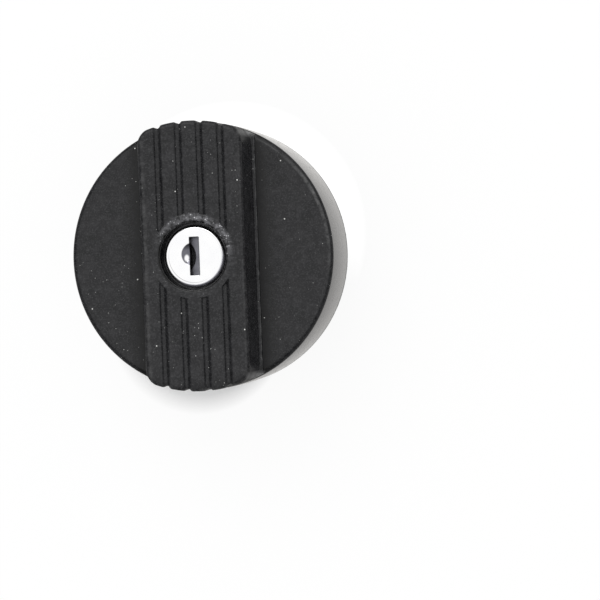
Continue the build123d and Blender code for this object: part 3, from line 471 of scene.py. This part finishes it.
def ring_screw(x, y, z):
    """One pan-head screw on the axis, head down, with a cross recess and a threaded shank."""
    radius = np.hypot(x, y)
    head = both(radius - SCREW_HEAD_R, slab(z, 0, SCREW_HEAD_H), SCREW_HEAD_ROUND)
    thread = THREAD_DEEP * np.abs(((z / THREAD_PITCH + np.arctan2(y, x) / (2 * np.pi)) % 1.0) * 2 - 1)
    shank = both(radius - SCREW_R + thread, slab(z, SCREW_LOW, SCREW_TOP))
    form = either(head, shank, SCREW_NECK_ROUND)
    cross = either(both(np.abs(x) - CROSS_LONG, np.abs(y) - CROSS_HALF),
                   both(np.abs(y) - CROSS_LONG, np.abs(x) - CROSS_HALF))
    return without(form, both(cross, z - SCREW_HEAD_H / 2), CROSS_ROUND)


def ring_screw_piece():
    xs = mirrored((0, 2.3, 0.13))
    zs = lines((-0.2, 1.5, 0.1), (1.5, 9.4, 0.2))
    return carve("ring_screw_set", ring_screw, xs, xs, zs, RING_SCREWS)


# Springs of the valves: coils of square wire


def coil_piece(name, mean_r, wire, low, long):
    """Coil of square wire that stands on a height, with its four corner lines joined by faces."""
    turn = np.linspace(0, 2 * np.pi * COIL_TURNS, COIL_STEPS * COIL_TURNS + 1)
    rise = low + wire / 2 + (long - wire) * turn / turn[-1]
    half = wire / 2
    edges = []
    for out, up in ((-half, -half), (half, -half), (half, half), (-half, half)):
        radius = mean_r + out
        edges.append(np.stack([radius * np.cos(turn), radius * np.sin(turn), rise + up], axis=1))
    points = np.concatenate(edges) * MM
    count = len(turn)
    first, last = [edge * count for edge in range(4)], [edge * count + count - 1 for edge in range(4)]
    faces = [tuple(first), tuple(reversed(last))]
    for side in range(4):
        this, following = first[side], first[(side + 1) % 4]
        faces += [(this + n, this + n + 1, following + n + 1, following + n) for n in range(count - 1)]
    mesh = bpy.data.meshes.new(name)
    mesh.from_pydata(points.tolist(), [], faces)
    mesh.update()
    thing = bpy.data.objects.new(name, mesh)
    bpy.context.scene.collection.objects.link(thing)
    return thing


def valve_spring_piece():
    return coil_piece("valve_spring", VALVE_SPRING_R, VALVE_WIRE, PLATE_TOP, VALVE_SPRING_LONG)


def vacuum_coil_piece():
    return coil_piece("vacuum_coil", VACUUM_SPRING_R, VACUUM_WIRE, PLATE_TOP, VACUUM_SPRING_LONG)


# Each piece, with the body that it rides on, the node that it stands for and its finish
PIECES = [
    (handle_piece, "handle", "handle_shell"),
    (holding_ring_piece, "handle", "retaining_ring"),
    (ring_screw_piece, "handle", "ring_screws"),
    (lock_face_piece, "key_barrel", "lock_face_cap"),
    (shutter_piece, "shutter", "keyway_shutter"),
    (plug_piece, "plug", "bayonet_plug"),
    (gasket_piece, "plug", "neck_gasket"),
    (valve_cover_piece, "plug", "valve_cover"),
    (valve_spring_piece, "plug", "pressure_spring"),
    (vacuum_coil_piece, "pressure_valve", "vacuum_spring"),
]
# How a spring shortens: the joint, the height of its fixed end, and the share of its length that is left
SQUASHES = {
    "pressure_spring": ("pressure_valve_lift", CHAMBER_TOP, 1 - VALVE_LIFT / VALVE_SPRING_LONG),
    "vacuum_spring": ("vacuum_valve_drop", PLATE_TOP, 1 - VACUUM_DROP / VACUUM_SPRING_LONG),
}
slots = {part["node"]: part["material_slot"] for part in frame["record"]["subparts"]}
slot_of = {thing: slots[node] for node, thing in frame["nodes"].items()}
for make, body, node in PIECES:
    made = make()
    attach(made, body)
    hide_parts(node)
    slot_of[made] = slots[node]
    if node in SQUASHES:
        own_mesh(made)


# Camera at the photograph's place: about 14 degrees off the axis, on the slot's right
FOCAL = 95.0
EYE = Vector((108.6, -4.0, 454.2)) * MM
RIGHT = Vector((0.984, -0.037, -0.180))
UP = Vector((0.033, 1.0, -0.0275))


def camera():
    data = bpy.data.cameras.new("camera")
    data.lens = FOCAL
    data.sensor_width = 36.0
    data.clip_start = 0.01
    view = bpy.data.objects.new("camera", data)
    back = RIGHT.cross(UP).normalized()
    right = UP.cross(back).normalized()
    up = back.cross(right)
    turn = Matrix((right, up, back)).transposed().to_4x4()
    view.matrix_world = Matrix.Translation(EYE) @ turn
    bpy.context.scene.collection.objects.link(view)
    bpy.context.scene.camera = view


camera()


class Nodes:
    """A material's node tree, with short calls for the nodes that the finishes use."""

    def __init__(self, name, tree=None):
        if tree:
            self.tree = tree
            return
        self.material = bpy.data.materials.new(name)
        self.material.use_nodes = True
        self.tree = self.material.node_tree
        self.shader = self.tree.nodes["Principled BSDF"]
        place = self.add("ShaderNodeTexCoord").outputs["Object"]
        scale = self.add("ShaderNodeVectorMath", operation="SCALE")
        self.link(place, scale.inputs[0])
        scale.inputs["Scale"].default_value = 1 / MM
        self.place = scale.outputs[0]

    def add(self, kind, **settings):
        node = self.tree.nodes.new(kind)
        for key, value in settings.items():
            setattr(node, key, value)
        return node

    def link(self, a, b):
        self.tree.links.new(a, b)

    def coordinates(self):
        """Place on the cap in millimetres, as x, y and z."""
        parts = self.add("ShaderNodeSeparateXYZ")
        self.link(self.place, parts.inputs[0])
        return list(parts.outputs)

    def noise(self, scale, detail=2.0, rough=0.5):
        """Noise of 0 to 1, with features about 1/scale millimetres wide."""
        node = self.add("ShaderNodeTexNoise")
        self.link(self.place, node.inputs["Vector"])
        node.inputs["Scale"].default_value = scale
        node.inputs["Detail"].default_value = detail
        node.inputs["Roughness"].default_value = rough
        return node.outputs["Fac"]

    def math(self, operation, a, b=0.0):
        node = self.add("ShaderNodeMath", operation=operation)
        for socket, value in zip(node.inputs, (a, b)):
            self.set(socket, value)
        return node.outputs[0]

    def plus(self, a, b):
        return self.math("ADD", a, b)

    def times(self, a, b):
        return self.math("MULTIPLY", a, b)

    def most(self, a, b):
        return self.math("MAXIMUM", a, b)

    def above(self, value, limit):
        """One where the value is over the limit, else zero."""
        return self.math("GREATER_THAN", value, limit)

    def spread(self, value, low, high, to_low=0.0, to_high=1.0):
        """Value stretched so that low and high become to_low and to_high, and limited to them."""
        node = self.add("ShaderNodeMapRange")
        self.link(value, node.inputs["Value"])
        for key, number in (("From Min", low), ("From Max", high), ("To Min", to_low), ("To Max", to_high)):
            node.inputs[key].default_value = number
        return node.outputs["Result"]

    def mix(self, share, a, b):
        node = self.add("ShaderNodeMix", data_type="RGBA")
        self.set(node.inputs["Factor"], share)
        self.set(node.inputs["A"], a)
        self.set(node.inputs["B"], b)
        return node.outputs["Result"]

    def set(self, socket, value):
        if isinstance(value, bpy.types.NodeSocket):
            self.link(value, socket)
        elif isinstance(value, tuple):
            socket.default_value = (*value, 1.0)
        else:
            socket.default_value = value

    def bump(self, height, strength, distance):
        node = self.add("ShaderNodeBump")
        node.inputs["Strength"].default_value = strength
        node.inputs["Distance"].default_value = distance * MM
        self.link(height, node.inputs["Height"])
        self.link(node.outputs["Normal"], self.shader.inputs["Normal"])


RIDGE_TOP, SPECK_CORE = 0.3, 0.5  # share of a line of wear or a speck that is at full strength


def ridge(nodes, value, centre, half):
    """One on a line where the value is at the centre, falling to zero at half that far to each side."""
    off = nodes.math("ABSOLUTE", nodes.math("SUBTRACT", value, centre))
    return nodes.spread(off, half * RIDGE_TOP, half, 1.0, 0.0)


def reach_of(nodes, x, y, centre, half):
    """Distance from a centre, as a share of an oval's half width and half height."""
    squares = []
    for value, middle, size in zip((x, y), centre, half):
        off = nodes.math("DIVIDE", nodes.math("SUBTRACT", value, middle), size)
        squares.append(nodes.times(off, off))
    return nodes.math("SQRT", nodes.plus(*squares))


def specks(nodes, per_mm, size, share):
    """Scattered round specks: how often they lie, their radius in millimetres, and the share that show."""
    cells = nodes.add("ShaderNodeTexVoronoi")
    nodes.link(nodes.place, cells.inputs["Vector"])
    cells.inputs["Scale"].default_value = per_mm
    dot = nodes.spread(cells.outputs["Distance"], size * per_mm * SPECK_CORE, size * per_mm, 1.0, 0.0)
    pick = nodes.add("ShaderNodeSeparateColor")
    nodes.link(cells.outputs["Color"], pick.inputs["Color"])
    return nodes.times(dot, nodes.above(pick.outputs["Red"], 1 - share))


# Handle's plastic
# Noises: features per millimetre, detail and roughness
MOTTLE, PATCHES, SPARK_GRAIN = (0.12, 5.0, 0.6), (0.55, 3.0, 0.6), (2.2, 3.0, 0.7)
WEAR_AND_HIGHLIGHT_NOISE, SCUFFING, DUST_DRIFT = (0.4, 4.0, 0.65), (0.8, 4.0, 0.6), (0.06, 2.0)
# Specks: cells per millimetre, radius in millimetres and the share that show
SPARKLES, FINE_DUST, DUST = (1.7, 0.24, 0.4), (0.9, 0.13, 0.30), (0.28, 0.24, 0.25)
# Colours
BLACK_LOW, BLACK_HIGH, BLACK_SHADED = (0.006, 0.006, 0.007), (0.012, 0.012, 0.013), (0.0015, 0.0015, 0.0015)
PATCH_GREY, GRAIN_GREY, WORN_AND_HIGHLIGHT_GREY = (0.030, 0.030, 0.032), (0.044, 0.044, 0.046), (0.13, 0.13, 0.13)
TIP_REFLECTION_GREY, SCUFF_GREY = (0.22, 0.22, 0.22), (0.15, 0.15, 0.16)
SPARKLE_GREY, DUST_GREY = (0.70, 0.70, 0.72), (0.62, 0.62, 0.60)
# Shaded face beside the bar's foot, and the lock hole's wall
BAR_FOOT, SHADE_WIDE = BAR_HALF + BAR_DRAFT, 6.0
SHADE_UNDER, SHADE_OVER = FACE_Z + 0.3, (FACE_Z - 1.2, FACE_Z - 0.4)
BORE_SHADE = (HOLE_R + 0.35, HOLE_R + 0.8)
# Worn lines, partly real wear and partly painted highlights, as their middle and half their width in
# millimetres, how strong they are, and from which height
LEFT_EDGE, LEFT_STRONG = (1.2 - BAR_HALF, 1.0), 0.35
RIGHT_EDGE, RIGHT_STRONG, EDGES_FROM = (BAR_HALF - 0.5, 0.6), 0.2, BAR_TOP - 1.2
LEDGE_EDGE, LEDGE_STRONG, LEDGE_FROM = (BAR_FOOT + LEDGE_W - 0.15, 0.3), 0.5, (FACE_Z + 0.3, FACE_Z + 0.35)
RIM_EDGE, RIM_STRETCH, RIM_FROM = (CAP_R - 1.0, 0.6), (13.0, 20.0), FACE_Z - 0.9
TIP_X, TIP_Y, TIP_FROM = (15.8, 2.2), (35.6, 3.0), FACE_Z - 0.5
END_R, END_Y, END_STRONG = (BAR_END - 1.2, BAR_END - 0.5), (-25.0, -30.0), 0.5
END_FROM = (BAR_TOP - 3.5, BAR_TOP - 0.5)
LAND_EDGE, LAND_FROM = (LAND_R - 1.3, 1.6), BAR_TOP - 1.5
LAND_STRETCH, LAND_LEAST = (0.0, 11.0), 0.08  # towards the upper right, and how worn the rest is
# Roughness
GRAIN_ROUGH, DULLER = (0.12, 0.22), 0.3
DULL_END_R, DULL_END_FROM = (34.0, 36.0), (FACE_Z + 0.3, FACE_Z + 0.9)
SKIRT_FROM, SKIRT_CLOUDS = (FACE_Z - 2.0, FACE_Z - 4.0), (-0.08, 0.02)
REAR_BAND, REAR_DULLER = (REAR_Z + 1.0, REAR_Z + 2.0), 0.25


def shaded_places(nodes, x, z, radius):
    """Face beside the bar's foot and wall of the lock hole, which little light reaches."""
    corner = nodes.spread(nodes.math("ABSOLUTE", x), BAR_FOOT, BAR_FOOT + SHADE_WIDE, 1.0, 0.0)
    on_face = nodes.times(nodes.math("LESS_THAN", z, SHADE_UNDER), nodes.spread(z, *SHADE_OVER))
    return nodes.times(corner, on_face), nodes.spread(radius, *BORE_SHADE, 1.0, 0.0)


def worn_and_highlit_places(nodes, x, y, z, radius):
    """Wear and painted highlights on the top edges of the bar, its lower end, the ledge at its foot, and the
    face's rim at the right.
    """
    edges = nodes.times(ridge(nodes, x, *LEFT_EDGE), LEFT_STRONG)
    edges = nodes.most(edges, nodes.times(ridge(nodes, x, *RIGHT_EDGE), RIGHT_STRONG))
    edges = nodes.times(edges, nodes.above(z, EDGES_FROM))
    ledge = ridge(nodes, nodes.math("ABSOLUTE", x), *LEDGE_EDGE)
    ledge = nodes.times(ledge, nodes.spread(z, *LEDGE_FROM, 0.0, LEDGE_STRONG))
    rim = nodes.times(ridge(nodes, radius, *RIM_EDGE), nodes.above(z, RIM_FROM))
    rim = nodes.times(rim, nodes.times(ridge(nodes, y, *RIM_STRETCH), nodes.above(x, 0.0)))
    end = nodes.times(nodes.spread(radius, *END_R), nodes.spread(y, *END_Y))
    end = nodes.times(end, nodes.spread(z, *END_FROM, 0.0, END_STRONG))
    return nodes.most(nodes.most(edges, end), nodes.most(ledge, rim))


def painted_tip_reflections(nodes, x, y, z):
    """Painted reflection on the corners of the bar's foot at the right, where they meet the face's rim."""
    tips = nodes.times(ridge(nodes, nodes.math("ABSOLUTE", y), *TIP_Y), ridge(nodes, x, *TIP_X))
    return nodes.times(tips, nodes.above(z, TIP_FROM))


def scuffed_land(nodes, x, y, z, radius):
    """Ring round the lock hole, scuffed at its upper right."""
    upper_right = nodes.plus(y, nodes.times(x, 0.3))
    part = nodes.spread(upper_right, *LAND_STRETCH, LAND_LEAST, 1.0)
    land = nodes.times(ridge(nodes, radius, *LAND_EDGE), part)
    land = nodes.times(land, nodes.above(z, LAND_FROM))
    return nodes.times(land, nodes.spread(nodes.noise(*SCUFFING), 0.4, 0.65))


def handle_plastic():
    """Spark-textured black plastic with dust, painted shade beside the bar and in the lock hole, light wear
    and painted highlights on the bar's edges, a painted reflection on its foot corners, and scuffs round the
    lock.
    """
    nodes = Nodes("handle_plastic")
    x, y, z = nodes.coordinates()
    radius = nodes.math("SQRT", nodes.plus(nodes.times(x, x), nodes.times(y, y)))
    grain = nodes.noise(*SPARK_GRAIN)
    patches = nodes.noise(*PATCHES)
    corner, bore = shaded_places(nodes, x, z, radius)
    # noise that breaks up the wear together with the painted highlights and the painted reflection on the
    # bar's foot corners
    rubbed = nodes.spread(nodes.noise(*WEAR_AND_HIGHLIGHT_NOISE), 0.4, 0.75)
    scuffs = scuffed_land(nodes, x, y, z, radius)

    colour = nodes.mix(nodes.spread(nodes.noise(*MOTTLE), 0.35, 0.65), BLACK_LOW, BLACK_HIGH)
    colour = nodes.mix(nodes.spread(patches, 0.45, 0.75, 0.0, 0.6), colour, PATCH_GREY)
    colour = nodes.mix(nodes.spread(grain, 0.5, 0.75), colour, GRAIN_GREY)
    colour = nodes.mix(nodes.most(corner, bore), colour, BLACK_SHADED)
    # light grey lines that are partly wear and partly painted highlights on the bar's edges, ledge, lower
    # end and rim
    colour = nodes.mix(nodes.times(worn_and_highlit_places(nodes, x, y, z, radius), rubbed), colour, WORN_AND_HIGHLIGHT_GREY)
    # painted reflection: light grey on the bar's foot corners, where the rounding would mirror the white
    # floor
    tips = nodes.times(painted_tip_reflections(nodes, x, y, z), nodes.spread(rubbed, 0.0, 0.5, 0.5, 1.0))
    colour = nodes.mix(tips, colour, TIP_REFLECTION_GREY)
    colour = nodes.mix(scuffs, colour, SCUFF_GREY)
    colour = nodes.mix(nodes.times(scuffs, specks(nodes, *SPARKLES)), colour, SPARKLE_GREY)
    drift = nodes.spread(nodes.noise(*DUST_DRIFT), 0.42, 0.62)
    dust = nodes.most(specks(nodes, *DUST), nodes.times(drift, specks(nodes, *FINE_DUST)))
    colour = nodes.mix(dust, colour, DUST_GREY)
    nodes.link(colour, nodes.shader.inputs["Base Color"])

    ends = nodes.times(nodes.spread(radius, *DULL_END_R), nodes.spread(z, *DULL_END_FROM))
    gloss = nodes.plus(nodes.spread(grain, 0.3, 0.7, *GRAIN_ROUGH), nodes.times(ends, DULLER))
    gloss = nodes.plus(gloss, nodes.times(corner, DULLER))
    clouds = nodes.spread(patches, 0.3, 0.7, *SKIRT_CLOUDS)
    gloss = nodes.plus(gloss, nodes.times(nodes.spread(z, *SKIRT_FROM), clouds))
    gloss = nodes.plus(gloss, nodes.spread(z, *REAR_BAND, REAR_DULLER, 0.0))
    nodes.link(gloss, nodes.shader.inputs["Roughness"])
    nodes.shader.inputs["IOR"].default_value = 1.38
    nodes.bump(grain, 0.16, 0.03)
    return nodes.material


# Chrome of the lock face: the spot in the dimple that is left bright, shares of a circle's radius between
# which the painted darker reflection and the rim's dullness change, and colours of the painted reflections
BRIGHT_X, BRIGHT_Y, BRIGHT_WIDE, BRIGHT_HIGH = -2.3, -0.45, 0.6, 0.9
DIMPLE_REFLECTION_REACH, BRIGHT_SPOT_REACH, RIM_DULL_AND_REFLECTION_REACH = (0.94, 1.0), (0.7, 1.3), (0.88, 0.93)
RIM_LEAN, RIM_PART, RIM_DULLER = 0.6, (1.0, 6.0), 0.5  # the rim is duller, and painted darker as a painted reflection, towards the lower right
RIM_REFLECTION_GREY, DIMPLE_REFLECTION_DARK, DIMPLE_REFLECTION_LIGHT = (0.45, 0.45, 0.50), (0.09, 0.09, 0.11), (0.22, 0.22, 0.24)


def painted_chrome_reflections(nodes, colour, gloss):
    """Chrome rougher and with a painted darker reflection on the rim at the lower right, and a painted dark
    reflection in the dimple round a spot that is left bright.
    """
    x, y = nodes.coordinates()[:2]
    reach = reach_of(nodes, x, y, (DIMPLE_X, DIMPLE_Y), (DIMPLE_R, DIMPLE_R))
    dimple = nodes.spread(reach, *DIMPLE_REFLECTION_REACH, 1.0, 0.0)
    dimple = nodes.times(dimple, nodes.math("LESS_THAN", x, -SLOT_HALF_X))
    spot = reach_of(nodes, x, y, (BRIGHT_X, BRIGHT_Y), (BRIGHT_WIDE, BRIGHT_HIGH))
    dimple = nodes.times(dimple, nodes.spread(spot, *BRIGHT_SPOT_REACH))
    rim = nodes.spread(reach_of(nodes, x, y, (0.0, 0.0), (LOCK_FACE_R, LOCK_FACE_R)), *RIM_DULL_AND_REFLECTION_REACH)
    lower_right = nodes.math("SUBTRACT", nodes.times(x, RIM_LEAN), y)
    rim = nodes.times(rim, nodes.spread(lower_right, *RIM_PART))
    # painted reflection: the rim is darkened towards the lower right
    colour = nodes.mix(rim, colour, RIM_REFLECTION_GREY)
    # painted reflection: the dimple is darkened, with noise, except at the spot left bright
    dimple_reflection = nodes.mix(nodes.noise(0.9, 3.0), DIMPLE_REFLECTION_DARK, DIMPLE_REFLECTION_LIGHT)
    return nodes.mix(dimple, colour, dimple_reflection), nodes.plus(gloss, nodes.times(rim, RIM_DULLER))


# Other finishes: colours from and to, metallic, roughness from and to, grain's features per millimetre,
# and the bump's depth in millimetres
FINISHES = {
    "plug_plastic": ((0.006, 0.006, 0.007), (0.014, 0.014, 0.015), 0.0, 0.28, 0.42, 1.2, 0.02),
    "gasket_rubber": ((0.010, 0.010, 0.010), (0.020, 0.019, 0.018), 0.0, 0.55, 0.75, 0.8, 0.03),
    # die-cast zinc is coloured darker than bare zinc, as painted shade for the gap round the lock face where
    # the housing shows
    "die_cast_zinc": ((0.07, 0.07, 0.073), (0.16, 0.16, 0.165), 1.0, 0.42, 0.62, 1.5, 0.04),
    "zinc_steel": ((0.52, 0.51, 0.48), (0.68, 0.67, 0.63), 1.0, 0.22, 0.42, 1.0, 0.015),
    "spring_steel": ((0.26, 0.26, 0.27), (0.42, 0.42, 0.43), 1.0, 0.22, 0.38, 2.0, 0.01),
    "shutter_steel": ((0.17, 0.17, 0.19), (0.26, 0.26, 0.29), 1.0, 0.45, 0.62, 1.2, 0.01),
    "chrome_face": ((0.97, 0.97, 0.98), (1.0, 1.0, 1.0), 1.0, 0.04, 0.10, 1.0, 0.002),
    "brass": ((0.62, 0.44, 0.17), (0.78, 0.60, 0.28), 1.0, 0.22, 0.40, 1.5, 0.01),
}
CLOUDS, RUBBED = (0.3, 4.0, 0.6), (0.8, 5.0, 0.7)  # noises
RUBBED_BRIGHTER, BUMP_STRONG = 1.5, 0.3


def finish(slot):
    """A finish with clouded colour, uneven gloss, fine grain and a few brighter rubbed spots."""
    dark, light, metallic, smooth, rough, grain_scale, depth = FINISHES[slot]
    nodes = Nodes(slot)
    cloud = nodes.noise(*CLOUDS)
    grain = nodes.noise(grain_scale, 4.0, 0.65)
    colour = nodes.mix(nodes.spread(cloud, 0.35, 0.65), dark, light)
    rubbed = nodes.spread(nodes.noise(*RUBBED), 0.62, 0.8, 0.0, 0.5)
    brighter = tuple(min(1.0, channel * RUBBED_BRIGHTER) for channel in light)
    colour = nodes.mix(rubbed, colour, brighter)
    gloss = nodes.spread(grain, 0.3, 0.7, smooth, rough)
    if slot == "chrome_face":
        colour, gloss = painted_chrome_reflections(nodes, colour, gloss)
    nodes.link(colour, nodes.shader.inputs["Base Color"])
    nodes.shader.inputs["Metallic"].default_value = metallic
    nodes.link(gloss, nodes.shader.inputs["Roughness"])
    nodes.bump(grain, BUMP_STRONG, depth)
    return nodes.material


materials = {slot: finish(slot) for slot in FINISHES}
materials["handle_plastic"] = handle_plastic()
for thing, slot in slot_of.items():
    thing.data.materials.clear()
    thing.data.materials.append(materials[slot])


# Floor, surroundings and lamps
FLOOR_Z = CAD_BOX[0][2]
FLOOR_HALF = 1.5
FLOOR_LOW, FLOOR_HIGH, FLOOR_ROUGH = (0.89, 0.89, 0.89), (0.91, 0.91, 0.91), 0.8
WHITE, WARM_WHITE = (1.0, 1.0, 1.0), (1.0, 0.98, 0.955)
WALL_TOP = (0.45, 0.8)  # sines of the heights between which the dark walls turn to white
WALL_LIGHT = 0.15
WALL_TILT = (0.2, 0.5, 1.0)  # how much the walls' height grows to the right and to the far side
SHADE_FOOT, SHADE_REACH = (-12.0, -20.0, FLOOR_Z / MM), (23.0, 29.0)  # where the floor's shadow shows
NO_SHADE, NO_SHADE_MIRRORED = 0.9, 0.8  # how much the shadow is covered elsewhere, and in reflections
NEAR_FLOOR, FAR_FLOOR = 47.0, 72.0  # the white sheet's middle and its end, in reflections
SHEET_LIGHT, SHEET_Y, SHEET_GROWS = 1.1, (-50.0, 50.0), (0.7, 1.22)  # brighter towards the far side
AMBIENT = 1.0
KEY_PLACE, KEY_TARGET, KEY_SIZE, KEY_POWER = (-0.15, 0.75, 0.85), (0, 0, 0.01), 0.7, 3.0


def floor():
    """White floor that shows only a part of its shadow, and looks like a bright sheet in reflections."""
    mesh = bpy.data.meshes.new("floor")
    corners = [(FLOOR_HALF * x, FLOOR_HALF * y, FLOOR_Z) for x, y in ((-1, -1), (1, -1), (1, 1), (-1, 1))]
    mesh.from_pydata(corners, [], [(0, 1, 2, 3)])
    thing = bpy.data.objects.new("floor", mesh)
    bpy.context.scene.collection.objects.link(thing)
    nodes = Nodes("floor_white")
    tint = nodes.mix(nodes.noise(0.02, 3.0), FLOOR_LOW, FLOOR_HIGH)
    nodes.link(tint, nodes.shader.inputs["Base Color"])
    nodes.shader.inputs["Roughness"].default_value = FLOOR_ROUGH

    glow = nodes.add("ShaderNodeEmission")
    path = nodes.add("ShaderNodeLightPath")
    seen = nodes.most(path.outputs["Is Camera Ray"], path.outputs["Is Transmission Ray"])
    nodes.link(nodes.mix(seen, WARM_WHITE, WHITE), glow.inputs["Color"])
    length = nodes.add("ShaderNodeVectorMath", operation="LENGTH")
    nodes.link(nodes.place, length.inputs[0])
    sheet = nodes.spread(length.outputs["Value"], NEAR_FLOOR, FAR_FLOOR, SHEET_LIGHT, WALL_LIGHT)
    y = nodes.coordinates()[1]
    sheet = nodes.times(sheet, nodes.spread(y, *SHEET_Y, *SHEET_GROWS))
    nodes.link(nodes.most(seen, sheet), glow.inputs["Strength"])

    from_foot = nodes.add("ShaderNodeVectorMath", operation="DISTANCE")
    nodes.link(nodes.place, from_foot.inputs[0])
    from_foot.inputs[1].default_value = SHADE_FOOT
    clear = nodes.spread(from_foot.outputs["Value"], *SHADE_REACH, 0.0, NO_SHADE)
    mirrored_share = nodes.times(path.outputs["Is Glossy Ray"], NO_SHADE_MIRRORED)
    share = nodes.most(nodes.times(seen, clear), mirrored_share)
    both_ways = nodes.add("ShaderNodeMixShader")
    nodes.link(share, both_ways.inputs["Fac"])
    nodes.link(nodes.shader.outputs[0], both_ways.inputs[1])
    nodes.link(glow.outputs[0], both_ways.inputs[2])
    nodes.link(both_ways.outputs[0], nodes.tree.nodes["Material Output"].inputs["Surface"])
    thing.data.materials.append(nodes.material)


def world():
    """White where it is seen, darker walls near the horizon in reflections, and even light on the cap."""
    surroundings = bpy.data.worlds.new("surroundings")
    bpy.context.scene.world = surroundings
    surroundings.use_nodes = True
    nodes = Nodes("surroundings", surroundings.node_tree)
    height = nodes.add("ShaderNodeVectorMath", operation="DOT_PRODUCT")
    nodes.link(nodes.add("ShaderNodeTexCoord").outputs["Generated"], height.inputs[0])
    height.inputs[1].default_value = WALL_TILT
    above_walls = nodes.spread(height.outputs["Value"], *WALL_TOP, WALL_LIGHT, 1.0)
    path = nodes.add("ShaderNodeLightPath")
    seen = nodes.most(path.outputs["Is Camera Ray"], path.outputs["Is Transmission Ray"])
    glossy = path.outputs["Is Glossy Ray"]
    mirrored_light = nodes.times(glossy, above_walls)
    soft_light = nodes.times(nodes.math("SUBTRACT", 1.0, glossy), AMBIENT)
    strength = nodes.most(seen, nodes.most(mirrored_light, soft_light))
    back = nodes.tree.nodes["Background"]
    back.inputs["Color"].default_value = (1, 1, 1, 1)
    nodes.link(strength, back.inputs["Strength"])


def lamp(name, place, target, size, power):
    data = bpy.data.lights.new(name, "AREA")
    data.shape = "SQUARE"
    data.size = size
    data.energy = power
    light = bpy.data.objects.new(name, data)
    light.location = place
    aim = Vector(target) - Vector(place)
    light.rotation_euler = aim.to_track_quat("-Z", "Y").to_euler()
    bpy.context.scene.collection.objects.link(light)


floor()
world()
lamp("key", KEY_PLACE, KEY_TARGET, KEY_SIZE, KEY_POWER)
bpy.context.scene.view_settings.view_transform = "Standard"
